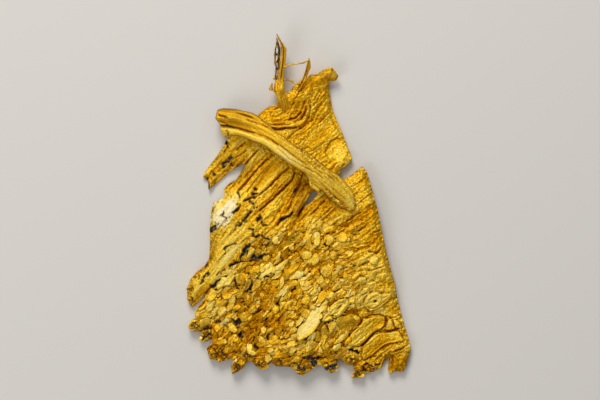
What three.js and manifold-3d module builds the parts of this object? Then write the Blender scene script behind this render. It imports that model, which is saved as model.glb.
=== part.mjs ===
// A specimen of native leaf gold, lying on its back with its face up.
//
// It grew as one piece, so it is one solid: a ragged, gently domed sheet, crossed by a folded
// band of striated gold. A thin spike and three fine wires stand off its top end, a claw-like
// strip sticks out at its left, and streaked ribs run down from under the band. Its lower half
// carries a crust of lumps, plates and curls, and nuggets hang along its bottom edge.
//
// Millimetres, +Z up. X runs across the sheet, Y towards the spike, and the origin is under the
// middle of the specimen, on the surface that it rests on.

import * as THREE from "three";
import { mergeVertices } from "three/addons/utils/BufferGeometryUtils.js";
import Module from "manifold-3d";

const wasm = await Module();
wasm.setup();

// ---------------------------------------------------------------- driving dimensions, mm

const LENGTH = 100; // from the tip of the spike to the lowest nugget
const SHEET_THICKNESS = 2.3;
const THINNEST = 1.0; // left of the sheet where the rest surface has flattened its back
const DOME_HEIGHT = 4.7; // of the sheet's face above the rest surface, before it droops
const BAND_HEIGHT = 10.4; // of the folded band's crest above the rest surface
const WIRE_DIAMETER = 0.5;
const FAR_BELOW = -20; // lower and higher than anything on the specimen
const FAR_ABOVE = 60;

// ---------------------------------------------------------------- drawing grid

// The shapes are drawn on a grid of small squares: u counts them to the right and v downwards.
const SQUARES_LONG = 345;
const SQUARE = LENGTH / SQUARES_LONG;
const DRAWING_SPAN = 440; // squares, wider than the whole drawing
const MIDDLE = { u: 298.3, v: 206 };

/** The point at square (u, v) of the drawing, z mm above the rest surface. */
function at(u, v, z) {
  return new THREE.Vector3((u - MIDDLE.u) * SQUARE, (MIDDLE.v - v) * SQUARE, z);
}

/** A repeatable source of numbers from -1 to 1 (the mulberry32 generator). */
function randomSource(seed) {
  let state = seed;
  return () => {
    state = (state + 0x6d2b79f5) | 0;
    let mixed = Math.imul(state ^ (state >>> 15), 1 | state);
    mixed = (mixed + Math.imul(mixed ^ (mixed >>> 7), 61 | mixed)) ^ mixed;
    return (((mixed ^ (mixed >>> 14)) >>> 0) / 2 ** 31) - 1;
  };
}

// ---------------------------------------------------------------- geometry to solids

/** A geometry with only positions, and one vertex at each place. */
function bare(geometry) {
  const copy = geometry.clone();
  copy.deleteAttribute("normal");
  copy.deleteAttribute("uv");
  return mergeVertices(copy, 1e-4);
}

/** Moves each vertex of a geometry to where `move` puts it. */
function reshape(geometry, move) {
  const shaped = bare(geometry);
  const position = shaped.getAttribute("position");
  const point = new THREE.Vector3();
  for (let i = 0; i < position.count; i++) {
    point.fromBufferAttribute(position, i);
    const moved = move(point, i);
    position.setXYZ(i, moved.x, moved.y, moved.z);
  }
  return shaped;
}

/** A closed geometry as a solid. */
function solid(geometry) {
  const closed = bare(geometry);
  return new wasm.Manifold(
    new wasm.Mesh({
      numProp: 3,
      vertProperties: closed.getAttribute("position").array,
      triVerts: new Uint32Array(closed.index.array),
    }),
  );
}

/** A solid as a geometry. */
function geometryOf(made) {
  const mesh = made.getMesh();
  const geometry = new THREE.BufferGeometry();
  geometry.setAttribute("position", new THREE.BufferAttribute(mesh.vertProperties, 3));
  geometry.setIndex(new THREE.BufferAttribute(mesh.triVerts, 1));
  geometry.computeVertexNormals();
  return geometry;
}

// ---------------------------------------------------------------- the sheet

// The sheet's ragged outline, clockwise from the foot of the spike.
const OUTLINE = [
  // top edge and peak
  [286, 94], [291, 89], [293, 85], [297, 83], [302, 78], [306, 77], [310, 74], [317, 73.5],
  [323, 69], [331, 67], [335, 71], [338, 75.5], [336, 79.5], [330, 80.5],
  // right edge down to the notch, where the band comes out
  [328.3, 86], [330, 98], [332.5, 110], [338.5, 124], [344, 137], [350, 153], [351.8, 158.5],
  [346, 165.5], [341, 169], [337.5, 175], [343, 179], [351, 174.5], [357, 169.5], [362, 166],
  // straight right edge
  [366, 170], [369, 180], [372, 191], [376, 205], [379.5, 220], [383, 238], [386.5, 254],
  [391, 271], [395, 284], [397, 298], [401, 314], [404.3, 326], [407, 334], [410.5, 346],
  // bottom edge, from right to left
  [408.5, 357], [406, 365], [403, 371.5], [395, 371], [390, 373.5], [387.5, 370], [389.5, 357],
  [384, 361.5], [380.5, 368.5], [373, 371], [366, 372], [362, 377], [354, 378], [350.5, 377.5],
  [354, 372], [353, 365], [346, 364], [342, 361], [340.5, 357.5], [336.5, 361], [337, 366],
  [335, 371], [331, 373], [325, 369.5], [321, 364.5], [315, 366], [309, 371], [302, 375],
  [296.5, 373.5], [294.5, 367], [284, 366], [276, 366], [270.5, 361.5], [266, 367], [260, 369],
  [255.5, 366], [253, 362.5], [247.5, 360], [243, 367], [238, 371], [231.5, 374], [230.5, 366],
  [233.5, 360], [232.5, 356.5], [227, 359.5], [219, 362], [215, 359.5], [209, 359], [207, 351],
  [205.5, 348.5], [211, 343.5], [214.5, 338], [209, 340], [203, 342], [198.5, 338],
  [201.5, 332], [194, 331.5], [188, 326], [189, 321.5], [195, 317.5],
  // left edge, with the lobe that a gap parts from the sheet
  [194, 313], [197, 307.5], [201, 302.5], [205.5, 293], [198, 301.5], [191, 307.5],
  [186.5, 299], [186.5, 289], [189.5, 279], [196, 271.5], [204, 265.5], [208.5, 258],
  [209.5, 245], [209, 229], [210.3, 212], [213, 202], [220, 199], [224, 195], [223, 189],
  [227, 184], [236, 178.5], [241, 170.5], [244.8, 162.5],
  // claw
  [237, 166], [230, 170], [221, 177.5], [211, 186.5], [207.5, 189], [207.5, 181],
  [202, 175.5], [207, 167], [214, 158], [220.5, 149.5], [226, 139],
  // under the head of the band, and back to the spike
  [230, 128], [245, 119], [256, 115.3], [263, 109.5], [268, 106], [275.5, 104.2], [278, 101.5],
  [277.5, 97], [279, 94],
];

// The slit that goes through the sheet beside the band.
const SLIT = [
  [311, 191], [314, 190], [317, 192.5], [315.5, 196], [313, 199], [310, 202.5], [305, 205.5],
  [302, 209], [303, 205], [306, 200], [309, 195],
];

/** 1 at the middle of an upright oval of the drawing, falling smoothly to 0 well outside it. */
function hump(u, v, { u: cu, v: cv, across, along }) {
  return Math.exp(-(((u - cu) / across) ** 2) - ((v - cv) / along) ** 2);
}

// Where the sheet droops to the rest surface, so that it stands on four broad feet.
const FEET = [
  { u: 214, v: 312, across: 44, along: 50, drop: 3.0 },
  { u: 386, v: 342, across: 40, along: 52, drop: 3.0 },
  { u: 330, v: 118, across: 34, along: 44, drop: 3.8 },
  { u: 214, v: 172, across: 22, along: 22, drop: 2.9 },
];
const HOLLOW_UNDER_BAND = { u: 276, v: 182, across: 40, along: 30, drop: 1.3 };
const BOWL_BY_SPIKE = { u: 284, v: 112, across: 20, along: 14, drop: 1.2 };
const PEAK_LIFT = { u: 330, v: 68, across: 16, along: 10, drop: -2.2 };
const DIPS = [...FEET, HOLLOW_UNDER_BAND, BOWL_BY_SPIKE, PEAK_LIFT];

// Slow waves of the face: `high` mm high, running along the direction (right, down).
const WAVES = [
  { high: 0.35, right: 1, down: 0.6, squaresPerRadian: 19 },
  { high: 0.25, right: -0.5, down: 1, squaresPerRadian: 12 },
];

/** Height of the sheet's smoothed face over square (u, v). */
function level(u, v) {
  const waved = WAVES.reduce(
    (z, { high, right, down, squaresPerRadian }) =>
      z + high * Math.sin((right * u + down * v) / squaresPerRadian),
    DOME_HEIGHT,
  );
  return DIPS.reduce((z, dip) => z - dip.drop * hump(u, v, dip), waved);
}

/** How far square (u, v) is from the sheet's outline, in squares. */
function edgeDistance(u, v) {
  return OUTLINE.reduce((nearest, [u1, v1], i) => {
    const [u2, v2] = OUTLINE[(i + 1) % OUTLINE.length];
    const long = Math.hypot(u2 - u1, v2 - v1);
    const t = ((u - u1) * (u2 - u1) + (v - v1) * (v2 - v1)) / long ** 2;
    const clamped = Math.min(1, Math.max(0, t));
    const apart = Math.hypot(u - u1 - clamped * (u2 - u1), v - v1 - clamped * (v2 - v1));
    return Math.min(nearest, apart);
  }, Infinity);
}

/**
 * A closed block over the whole drawing, between two surfaces that move the points of a lattice.
 * The lattice's cells are `long` squares along the direction `lean` and `wide` squares across it.
 */
function block({ long, wide, lean }, lowest, highest) {
  const span = DRAWING_SPAN;
  const grid = new THREE.BoxGeometry(
    span, span, 2, Math.round(span / long), Math.round(span / wide), 1,
  );
  return solid(
    reshape(grid.rotateZ(lean), ({ x, y, z }) => {
      const u = MIDDLE.u + x;
      const v = MIDDLE.v - y;
      return z > 0 ? highest(u, v) : lowest(u, v);
    }),
  );
}

/** An upright prism through the whole thickness, from an outline in the drawing. */
function prism(outline) {
  const shape = new THREE.Shape(outline.map(([u, v]) => {
    const { x, y } = at(u, v, 0);
    return new THREE.Vector2(x, y);
  }));
  const depth = FAR_ABOVE - FAR_BELOW;
  const extruded = new THREE.ExtrudeGeometry(shape, { depth, bevelEnabled: false });
  return solid(extruded.translate(0, 0, FAR_BELOW));
}

// The face is crumpled most under a line that rises to the right, where the crust is.
const CRUST_LINE = { u: 215, v: 262, rise: 0.34 };

function crustBelow(u) {
  return CRUST_LINE.v - CRUST_LINE.rise * (u - CRUST_LINE.u);
}

function makeSheet() {
  const random = randomSource(7);
  const streaks = { long: 13, wide: 7, lean: 0.8 };
  const plain = { long: 26, wide: 26, lean: 0.3 };
  const thinEdge = { drop: 0.9, reach: 5 };
  const crumples = { crust: 0.75, plain: 0.35 }; // mm up or down
  const backCrumple = 0.15;
  const astray = 1.6; // squares to any side
  const underFace = block(
    streaks,
    (u, v) => at(u, v, FAR_BELOW),
    (u, v) => {
      const crumple = v > crustBelow(u) ? crumples.crust : crumples.plain;
      const edge = thinEdge.drop * Math.exp(-((edgeDistance(u, v) / thinEdge.reach) ** 2));
      const aside = astray * random();
      const face = Math.max(THINNEST, level(u, v) - edge + crumple * random());
      return at(u + aside, v + astray * random(), face);
    },
  );
  const overBack = block(
    plain,
    (u, v) => at(u, v, level(u, v) - SHEET_THICKNESS + backCrumple * random()),
    (u, v) => at(u, v, FAR_ABOVE),
  );
  return underFace.intersect(overBack).intersect(prism(OUTLINE)).subtract(prism(SLIT));
}

// ---------------------------------------------------------------- strands

/**
 * A long closed piece along a route of stations { u, v, z, wide, deep }: wide and deep in mm,
 * z of its middle. It serves for the band, ribs, wires, tongues and, cut away, for cracks.
 */
function strand(stations, { sides = 6, steps = 8, rough = 0, seed = 1 } = {}) {
  const random = randomSource(seed);
  const spine = new THREE.CatmullRomCurve3(stations.map(({ u, v, z }) => at(u, v, z)));
  const girth = new THREE.CatmullRomCurve3(
    stations.map(({ wide, deep }) => new THREE.Vector3(wide, deep, 0)),
  );
  const up = new THREE.Vector3(0, 0, 1);
  return solid(
    reshape(new THREE.CylinderGeometry(1, 1, 1, sides, steps), ({ x, y, z }) => {
      const t = Math.min(1, Math.max(0, y + 0.5));
      const along = spine.getTangent(t);
      const side = new THREE.Vector3().crossVectors(along, up).normalize();
      const out = new THREE.Vector3().crossVectors(side, along);
      const { x: wide, y: deep } = girth.getPoint(t);
      const swell = 0.5 * (1 + rough * random());
      return spine
        .getPoint(t)
        .addScaledVector(side, x * wide * swell)
        .addScaledVector(out, z * deep * swell);
    }),
  );
}

/** Stations from rows of [u, v, z, wide, deep]. */
function stations(rows) {
  return rows.map(([u, v, z, wide, deep]) => ({ u, v, z, wide, deep }));
}

/**
 * Stations of a strand that stands on the sheet like a wall, from rows of [u, v, fall, wide]:
 * its crest is `fall` mm under the band's highest, and its foot is sunk into the sheet.
 */
function wallStations(rows) {
  const sunk = 0.7;
  return stations(rows.map(([u, v, fall, wide, deep]) => {
    const crest = BAND_HEIGHT - fall;
    const tall = deep ?? crest - level(u, v) + sunk;
    return [u, v, crest - tall / 2, wide, tall];
  }));
}

// The band is folded double: a broad striated strand, and the rounded roll of its lower edge.
// Its head overhangs the sheet's left edge, so it has a depth of its own there.
function makeBand() {
  const broad = strand(
    wallStations([
      [218, 114, 2.6, 3, 2.2], [234, 118.5, 1.9, 4.9, 3.2], [253, 124.5, 1, 4.8],
      [273, 134.5, 0.2, 4], [291, 149.5, 0, 4], [308, 163.5, 0.4, 4.4], [323, 175, 1.2, 5],
      [338, 187, 2.6, 4.8], [354.5, 210, 5, 0.8],
    ]),
    { sides: 10, steps: 18, rough: 0.1, seed: 11 },
  );
  const roll = strand(
    wallStations([
      [223, 129.5, 3.8, 1.7, 2.2], [238, 133.2, 2.7, 2.4], [253, 137.7, 2, 2.5],
      [267, 144, 1.4, 2.6], [282, 155, 1.2, 2.4], [297, 167.5, 1.5, 2.2], [318, 183, 2.4, 2.4],
      [352, 207, 4.8, 1.2],
    ]),
    { sides: 7, steps: 14, rough: 0.06, seed: 12 },
  );
  const headFold = strand(
    wallStations([
      [219, 118, 3.2, 2.2, 2.4], [222, 125, 3.6, 2.4, 2.6], [226, 134, 4.2, 2.2, 3],
      [230, 143, 5.4, 1.8, 2.2],
    ]),
    { sides: 6, steps: 4, rough: 0.15, seed: 13 },
  );
  return [broad, roll, headFold];
}

// Long ribs on the sheet's face, each as its two ends, [u, v] to [u, v], and its width.
const RIBS = [
  // streaked slope under the band
  [[228, 186], [257, 149], 1.9], [[241, 196], [270, 158], 1.8], [[251, 207], [289, 168], 2.0],
  [[264, 216], [299, 176], 1.9], [[279, 222], [309, 188], 1.8], [[296, 225], [322, 196], 1.6],
  [[310, 227], [334, 201], 1.5],
  // claw
  [[207, 182], [246, 151], 1.9], [[206, 171], [231, 141], 1.9],
  // planks of the left side
  [[192, 296], [211, 266], 2.2], [[214, 262], [247, 221], 2.2], [[213, 244], [241, 205], 2.0],
  [[208, 294], [246, 263], 2.2],
  // folds of the upper sheet
  [[330, 84], [306, 122], 1.6], [[318, 78], [295, 116], 1.4], [[336, 124], [309, 148], 1.9],
  [[349, 152], [324, 170], 1.8],
  // long ridges of the right side
  [[352, 214], [374, 199], 1.5], [[343, 236], [380, 224], 1.6], [[334, 258], [387, 247], 1.7],
  [[338, 284], [391, 266], 1.7], [[302, 357], [334, 335], 1.6],
];

/**
 * Stations of a rib or crack from [u, v] to [u, v], `wide` mm wide at its middle, `over` mm over
 * the face, with its ends `ends.wide` times as wide, and its middle and ends as deep as given.
 */
function spindle([u1, v1], [u2, v2], wide, over, middleDeep, ends) {
  const half = 0.5;
  return stations([0, half, 1].map((t) => {
    const u = u1 + (u2 - u1) * t;
    const v = v1 + (v2 - v1) * t;
    const [w, d] = t === half ? [wide, middleDeep] : [ends.wide * wide, ends.deep];
    return [u, v, level(u, v) + over, w, d];
  }));
}

function makeRibs() {
  const middleDeep = 1.7;
  const ends = { wide: 0.6, deep: 0.7 };
  return RIBS.map(([from, to, wide], i) =>
    strand(spindle(from, to, wide, 0, middleDeep, ends), {
      sides: 4, steps: 2, rough: 0.2, seed: 40 + i,
    }),
  );
}

// ---------------------------------------------------------------- plates and curls

// Tongues, curls and smooth plates that lie on the face: rows of [u, v, wide, deep].
const PLATES = {
  smoothPlate: [[297, 338, 2.4, 1.2], [305, 327, 4.2, 2], [313, 315, 3.8, 2], [325, 304, 2, 1]],
  tongue: [[346, 349, 2, 1.4], [359, 337, 3.6, 2.4], [372, 325, 3.8, 2.6], [384, 318, 2, 1.4]],
  leaf: [
    [361, 362, 2.4, 1.6], [368, 347, 4.4, 2.6], [382, 339, 3.6, 2.8], [398, 337, 3.4, 2.4],
    [406, 345, 2, 1.4],
  ],
  cornerLobe: [[396, 345, 2.6, 1.6], [400, 357, 4, 2.2], [397, 369, 2.6, 1.4]],
  curl: [
    [330, 317, 1.1, 1], [341, 309, 1.4, 1.5], [348, 300, 1.4, 1.6], [344, 296.5, 1.3, 1.4],
    [336, 304, 1.1, 1],
  ],
  block: [[339, 322, 2.6, 1.6], [348, 319, 4, 2.2], [357, 318, 2.6, 1.4]],
  ledge: [[222, 300, 2, 1.2], [213, 312, 4.6, 1.8], [203, 323, 2.4, 1.2]],
  brightPlate: [[215, 221, 2, 1.2], [223, 209, 4, 1.8], [234, 196, 3, 1.2]],
};

function makePlates() {
  const over = 0.1;
  return Object.values(PLATES).map((rows, i) =>
    strand(
      stations(rows.map(([u, v, wide, deep]) => [u, v, level(u, v) + over, wide, deep])),
      { sides: 5, steps: 3, rough: 0.08, seed: 80 + i },
    ),
  );
}

// A spiral curl, like a shaving, near the right edge.
function makeSpiral() {
  const turns = 1.2;
  const middle = { u: 372.5, v: 300.5 };
  const radii = { outer: 8, inner: 3.5 };
  const flattened = 0.85;
  const [over, wide, deep] = [0.2, 1, 1.2];
  const points = 9;
  const rows = [];
  for (let i = 0; i < points; i++) {
    const t = i / (points - 1);
    const angle = 2 * Math.PI * turns * t;
    const radius = radii.outer + (radii.inner - radii.outer) * t;
    const u = middle.u + radius * Math.cos(angle);
    const v = middle.v + flattened * radius * Math.sin(angle);
    rows.push([u, v, level(u, v) + over, wide, deep]);
  }
  return strand(stations(rows), { sides: 4, steps: 10, rough: 0.1, seed: 95 });
}

// ---------------------------------------------------------------- lumps and nuggets

/** A faceted lump: half sizes in mm along its length, across it and upwards. */
function nugget({ u, v, z, size: [a, b, c], turn, lean, facets }, random) {
  const uneven = 0.2;
  const place = new THREE.Matrix4().compose(
    at(u, v, z),
    new THREE.Quaternion().setFromEuler(new THREE.Euler(lean * random(), lean * random(), turn)),
    new THREE.Vector3(a, b, c),
  );
  return solid(
    reshape(facets ?? new THREE.IcosahedronGeometry(1, 0), (point) =>
      point.multiplyScalar(1 + uneven * random()).applyMatrix4(place),
    ),
  );
}

// Nuggets along the edges, [u, v, half size in squares, height of the middle over the face].
const FRINGE = [
  [206, 334, 5.8, -0.4], [194, 325, 5.6, -0.2], [214, 352, 6.8, -0.2], [223, 355, 6, -0.6],
  [236, 366, 5.6, -0.5], [246, 356, 5, -0.4], [261, 363, 6, -0.6], [280, 361, 5.6, -0.7],
  [301, 367, 6.6, -0.8], [313, 362, 5, -0.6], [330, 366, 6.4, -0.9], [350, 358, 6.8, -0.3],
  [357, 373, 4.6, -0.2], [370, 368, 5.4, -0.3], [395, 366, 6, -0.3], [191, 299, 4.8, -0.3],
  [190, 288, 4.4, -0.2], [206, 181, 4, 0], [211, 177, 4.2, 0.2], [334, 74, 4.6, -0.1],
];

// Large lumps that stand out of the crust, [u, v, half length, half width in squares].
const LARGE_LUMPS = [
  [316, 237, 5, 3.6], [328, 239, 5, 4.2], [344, 235, 6, 4], [294, 243, 5, 4.4], [322, 254, 7, 4],
  [272, 268, 7.5, 4.4], [290, 270, 7, 5.5], [262, 222, 4.6, 3.6], [240, 276, 6, 5],
  [252, 280, 5.4, 4.4], [245, 316, 6, 5], [233, 328, 5.8, 4.4], [250, 345, 6, 4.4],
  [262, 338, 5.4, 4.4], [221, 330, 5, 4], [331, 325, 4, 3.4], [275, 307, 6, 4], [372, 273, 6, 4.4],
  [318, 280, 6, 4], [346, 263, 6.4, 3.8],
];

/** True where square (u, v) lies inside an outline. */
function inside(outline, u, v) {
  return outline.reduce((odd, [u1, v1], i) => {
    const [u2, v2] = outline[(i + 1) % outline.length];
    const crosses = v1 > v !== v2 > v && u < u1 + ((v - v1) * (u2 - u1)) / (v2 - v1);
    return crosses ? !odd : odd;
  }, false);
}

// Nuggets that hang along the edges.
function makeFringe(random) {
  const lowest = 1.2;
  const tallest = 1.5;
  return FRINGE.map(([u, v, squares, over]) => {
    const half = squares * SQUARE;
    return nugget({
      u, v, z: Math.max(lowest, level(u, v) + over),
      size: [half, 0.85 * half, Math.min(tallest, 0.8 * half)],
      turn: random() * Math.PI, lean: 0.3,
    }, random);
  });
}

function makeLargeLumps(random) {
  const over = 0.15;
  const halfTall = 1;
  return LARGE_LUMPS.map(([u, v, halfLong, halfWide]) =>
    nugget({
      u, v, z: level(u, v) + over, size: [halfLong * SQUARE, halfWide * SQUARE, halfTall],
      turn: 0.7 + 0.4 * random(), lean: 0.25,
    }, random),
  );
}

// Smaller lumps, strewn over the crust: one to each cell of a lattice, well inside the outline.
function makeSmallLumps(random) {
  const pitch = 30;
  const astray = 0.4 * pitch;
  const clearOfEdge = 5;
  const from = { u: 200, v: 220 };
  const to = { u: 402, v: 372 };
  const made = [];
  for (let cellV = from.v; cellV < to.v; cellV += pitch) {
    for (let cellU = from.u; cellU < to.u; cellU += pitch) {
      const u = cellU + astray * random();
      const v = cellV + astray * random();
      const half = 1.5 + 0.4 * random();
      const clear = inside(OUTLINE, u, v) && edgeDistance(u, v) > clearOfEdge;
      if (v < crustBelow(u) || !clear) continue;
      made.push(
        nugget({
          u, v, z: level(u, v), size: [1.2 * half, 0.8 * half, 1.3],
          turn: 0.7 + 0.5 * random(), lean: 0.35, facets: new THREE.OctahedronGeometry(1, 0),
        }, random),
      );
    }
  }
  return made;
}

function makeNuggets() {
  const random = randomSource(22);
  return [...makeFringe(random), ...makeLargeLumps(random), ...makeSmallLumps(random)];
}

// ---------------------------------------------------------------- spike and wires

function makeSpike() {
  const blade = strand(
    stations([
      [284, 112, 2.5, 2.6, 1.8], [281, 101, 3.2, 2.4, 2], [279.3, 88.5, 4.6, 3.4, 2.4],
      [280.5, 79, 5.5, 2, 1.2], [282, 64, 6.5, 1.8, 0.9], [283.2, 49, 7.5, 1.5, 0.8],
      [276.2, 33, 8.3, 0.25, 0.3],
    ]),
    { sides: 6, steps: 12, rough: 0.06, seed: 31 },
  );
  // The web is a toothed edge that turns down and back from the blade's left side.
  const teeth = 8;
  const [top, bottom] = [40, 82];
  const toothLong = 3.2;
  const outline = [[281, 84], [280.5, 44]];
  for (let tooth = 0; tooth < teeth; tooth++) {
    const v = top + (tooth * (bottom - top)) / teeth;
    outline.push([275.4 - 0.2 * tooth, v], [276.6 - 0.12 * tooth, v + toothLong]);
  }
  const shape = new THREE.Shape(outline.map(([u, v]) => new THREE.Vector2(u, v)));
  const hinge = { u: 281, v: 50, z: 7.2 };
  const fall = { left: 0.5, down: 0.045 };
  const depth = 0.6;
  const web = solid(
    reshape(new THREE.ExtrudeGeometry(shape, { depth, bevelEnabled: false }), ({ x: u, y: v, z }) =>
      at(u, v, hinge.z - fall.left * (hinge.u - u) - fall.down * (v - hinge.v) - z),
    ),
  );
  const hook = strand(
    stations([[278, 91, 4.6, 1, 1], [271, 89, 4.5, 1, 0.9], [271.5, 83, 4.7, 0.4, 0.4]]),
    { sides: 5, steps: 4, seed: 32 },
  );
  return [blade, web, hook];
}

function makeWires() {
  const d = WIRE_DIAMETER;
  const routes = [
    [[282, 67, 6.4], [290, 65, 6.8], [299, 63.5, 7.1], [305, 62.3, 7.3], [308.3, 60, 7.6]],
    [[282, 78, 5.6], [286.5, 79.3, 5.6], [291, 82, 5.2], [296, 83.5, 4.6], [300, 85.5, 3.8]],
  ];
  const wires = routes.map((route, i) =>
    strand(stations(route.map((point) => [...point, d, d])), { sides: 6, steps: 6, seed: 60 + i }),
  );
  const leg = strand(
    stations([
      [298, 89, 3.2, 1, 1], [302.5, 81, 4.4, 1, 0.8], [305.2, 75, 5.7, 1, 0.7],
      [307.2, 67, 6.9, 1.2, 0.7], [308.7, 58.4, 7.9, 0.4, 0.4],
    ]),
    { sides: 6, steps: 6, rough: 0.1, seed: 63 },
  );
  return [...wires, leg];
}

// ---------------------------------------------------------------- cracks

// Deep cracks in the face, [u, v] to [u, v], width in mm.
const CRACKS = [
  [[232, 214], [241, 203], 0.9], [[240, 226], [251, 210], 1.1], [[241, 254], [249, 242], 1.3],
  [[231, 264], [250, 258], 0.9], [[209, 288], [221, 277], 1], [[284, 219], [293, 211], 0.8],
  [[360, 345], [373, 334], 0.8], [[374, 332.5], [398, 330], 0.9], [[360, 316], [386, 314], 0.8],
  [[221, 321], [225, 324], 1.4], [[254, 341], [257, 348], 1.2], [[263, 318], [266, 324], 1],
];

function makeCracks() {
  const over = 0.6;
  const middleDeep = 2.8;
  const ends = { wide: 0.4, deep: 1.2 };
  return CRACKS.map(([from, to, wide], i) =>
    strand(spindle(from, to, wide, over, middleDeep, ends), { sides: 4, steps: 2, seed: 120 + i }),
  );
}

// ---------------------------------------------------------------- the whole specimen

/** The largest body of a solid, without the tiny pockets and crumbs that joining pieces leaves. */
function mainBody(made) {
  return made.decompose().reduce((a, b) => (b.volume() > a.volume() ? b : a));
}

function makeSpecimen() {
  const grown = wasm.Manifold.union([
    makeSheet(),
    ...makeRibs(),
    ...makePlates(),
    makeSpiral(),
    ...makeNuggets(),
  ]);
  const cracked = grown.subtract(wasm.Manifold.union(makeCracks()));
  const whole = wasm.Manifold.union([
    cracked,
    ...makeBand(),
    ...makeSpike(),
    ...makeWires(),
  ]);
  const rested = whole.trimByPlane([0, 0, 1], 0);
  const sliver = 0.1;
  return mainBody(mainBody(rested).simplify(sliver));
}

/** A geometry moved so that the origin is under its middle, on the surface that it rests on. */
function stoodOnOrigin(geometry) {
  geometry.computeBoundingBox();
  const { min, max } = geometry.boundingBox;
  return geometry.translate(-(min.x + max.x) / 2, -(min.y + max.y) / 2, -min.z);
}

const gold = new THREE.MeshStandardMaterial({ color: 0xd9a128, roughness: 0.35, metalness: 1 });
const leafGold = new THREE.Mesh(stoodOnOrigin(geometryOf(makeSpecimen())), gold);
leafGold.name = "leaf_gold";

const specimen = new THREE.Group();
specimen.add(leafGold);

export default specimen;
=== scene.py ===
# A specimen of native leaf gold, lying on its back on a pale table: a ragged, crinkled sheet
# with a folded band across it, a thin spike with wires at its top and a crust of flakes below.

import math

import bpy
import numpy as np
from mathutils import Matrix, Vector, noise


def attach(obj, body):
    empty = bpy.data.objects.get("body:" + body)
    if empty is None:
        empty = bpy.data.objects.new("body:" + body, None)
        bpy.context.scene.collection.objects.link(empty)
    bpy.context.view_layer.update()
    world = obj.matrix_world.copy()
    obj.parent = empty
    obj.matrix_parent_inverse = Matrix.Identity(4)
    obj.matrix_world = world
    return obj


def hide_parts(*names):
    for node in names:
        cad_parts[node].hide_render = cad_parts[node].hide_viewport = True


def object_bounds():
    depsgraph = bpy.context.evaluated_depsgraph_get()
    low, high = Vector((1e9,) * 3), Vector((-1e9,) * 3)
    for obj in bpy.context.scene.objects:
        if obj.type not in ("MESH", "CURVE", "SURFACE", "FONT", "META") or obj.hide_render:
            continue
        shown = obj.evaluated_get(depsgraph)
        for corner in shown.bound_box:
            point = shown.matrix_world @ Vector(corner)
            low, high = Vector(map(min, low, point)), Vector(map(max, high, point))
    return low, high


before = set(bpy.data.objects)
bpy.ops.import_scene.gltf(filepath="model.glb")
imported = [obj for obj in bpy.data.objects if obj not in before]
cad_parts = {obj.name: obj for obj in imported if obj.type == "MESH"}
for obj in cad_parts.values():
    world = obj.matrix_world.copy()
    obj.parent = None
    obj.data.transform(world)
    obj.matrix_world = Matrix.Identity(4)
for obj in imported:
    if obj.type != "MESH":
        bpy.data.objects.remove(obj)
cad_low, cad_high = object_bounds()

# ---------------------------------------------------------------- table, lamps and camera
# The specimen lies on a plain pale table top, under a large soft lamp beyond its top edge, a weaker
# one at its lower left and another overhead. The camera looks straight down on it.

# The specimen is drawn on small squares, 345.2 of them from the tip of its spike to its lowest
# nugget: u counts them to the right and v downwards. Heights above the table are in millimetres.
MM = 0.001
SQUARES_LONG = 345.2
SQUARE = (cad_high.y - cad_low.y) / SQUARES_LONG
MIDDLE_U, MIDDLE_V = 298.15, 205.4


def place(u, v, z_mm):
    """Points in metres for squares u, v of the drawing, z_mm above the table."""
    x = (np.asarray(u, float) - MIDDLE_U) * SQUARE
    y = (MIDDLE_V - np.asarray(v, float)) * SQUARE
    return np.stack([x, y, np.broadcast_to(np.asarray(z_mm, float) * MM, x.shape)], axis=-1)


bpy.ops.object.select_all(action="DESELECT")
bpy.ops.mesh.primitive_plane_add(size=3.0, location=(0, 0, 0))
table_top = bpy.context.object
table_top.name = "table_top"

table_paint = bpy.data.materials.new("pale_table")
table_paint.use_nodes = True
table_shader = table_paint.node_tree.nodes["Principled BSDF"]
table_shader.inputs["Base Color"].default_value = (0.72, 0.71, 0.69, 1)
table_shader.inputs["Roughness"].default_value = 0.8
table_top.data.materials.append(table_paint)

LAMPS = {
    # name: place in metres, size in metres, watts, colour
    "key_lamp": ((-0.14, 0.58, 0.56), 0.4, 4.1, (1.0, 0.96, 0.9)),
    "fill_lamp": ((-0.44, -0.36, 0.5), 0.5, 1.2, (1.0, 0.97, 0.93)),
    "top_lamp": ((-0.05, 0.2, 0.95), 0.6, 0.8, (1.0, 0.98, 0.95)),
}
for name, (spot, size, watts, colour) in LAMPS.items():
    bpy.ops.object.light_add(type="AREA", location=spot)
    lamp = bpy.context.object
    lamp.name = name
    lamp.data.shape = "DISK"
    lamp.data.size = size
    lamp.data.energy = watts
    lamp.data.color = colour
    lamp.rotation_euler = (-Vector(spot)).to_track_quat("-Z", "Y").to_euler()

room = bpy.data.worlds.new("studio")
bpy.context.scene.world = room
room.use_nodes = True
room.node_tree.nodes["Background"].inputs["Color"].default_value = (1.0, 0.98, 0.95, 1)
room.node_tree.nodes["Background"].inputs["Strength"].default_value = 0.27
bpy.context.scene.view_settings.view_transform = "Standard"

IMAGE_WIDE, IMAGE_HIGH = 600, 400  # squares of the drawing that the camera sees
LENS_MM = 150.0
TRUE_MM = 4  # height above the table at which the camera sees just that many
bpy.ops.object.camera_add()
camera = bpy.context.object
camera.data.lens = LENS_MM
camera_height = IMAGE_WIDE * SQUARE * LENS_MM / camera.data.sensor_width
camera_x, camera_y, _ = place(IMAGE_WIDE / 2 - 0.5, IMAGE_HIGH / 2 - 0.5, 0)
camera.location = (camera_x, camera_y, camera_height + TRUE_MM * MM)
bpy.context.scene.camera = camera

# ---------------------------------------------------------------- sheet: its outline and form
# The body of the specimen is one ragged leaf of gold about 2 mm thick, drooping to the table at
# four low places. It grew as it is, so it has no joints or fixings.

SHEET_THICK = 2.3  # mm
DOME_HIGH = 4.7  # mm

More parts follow.
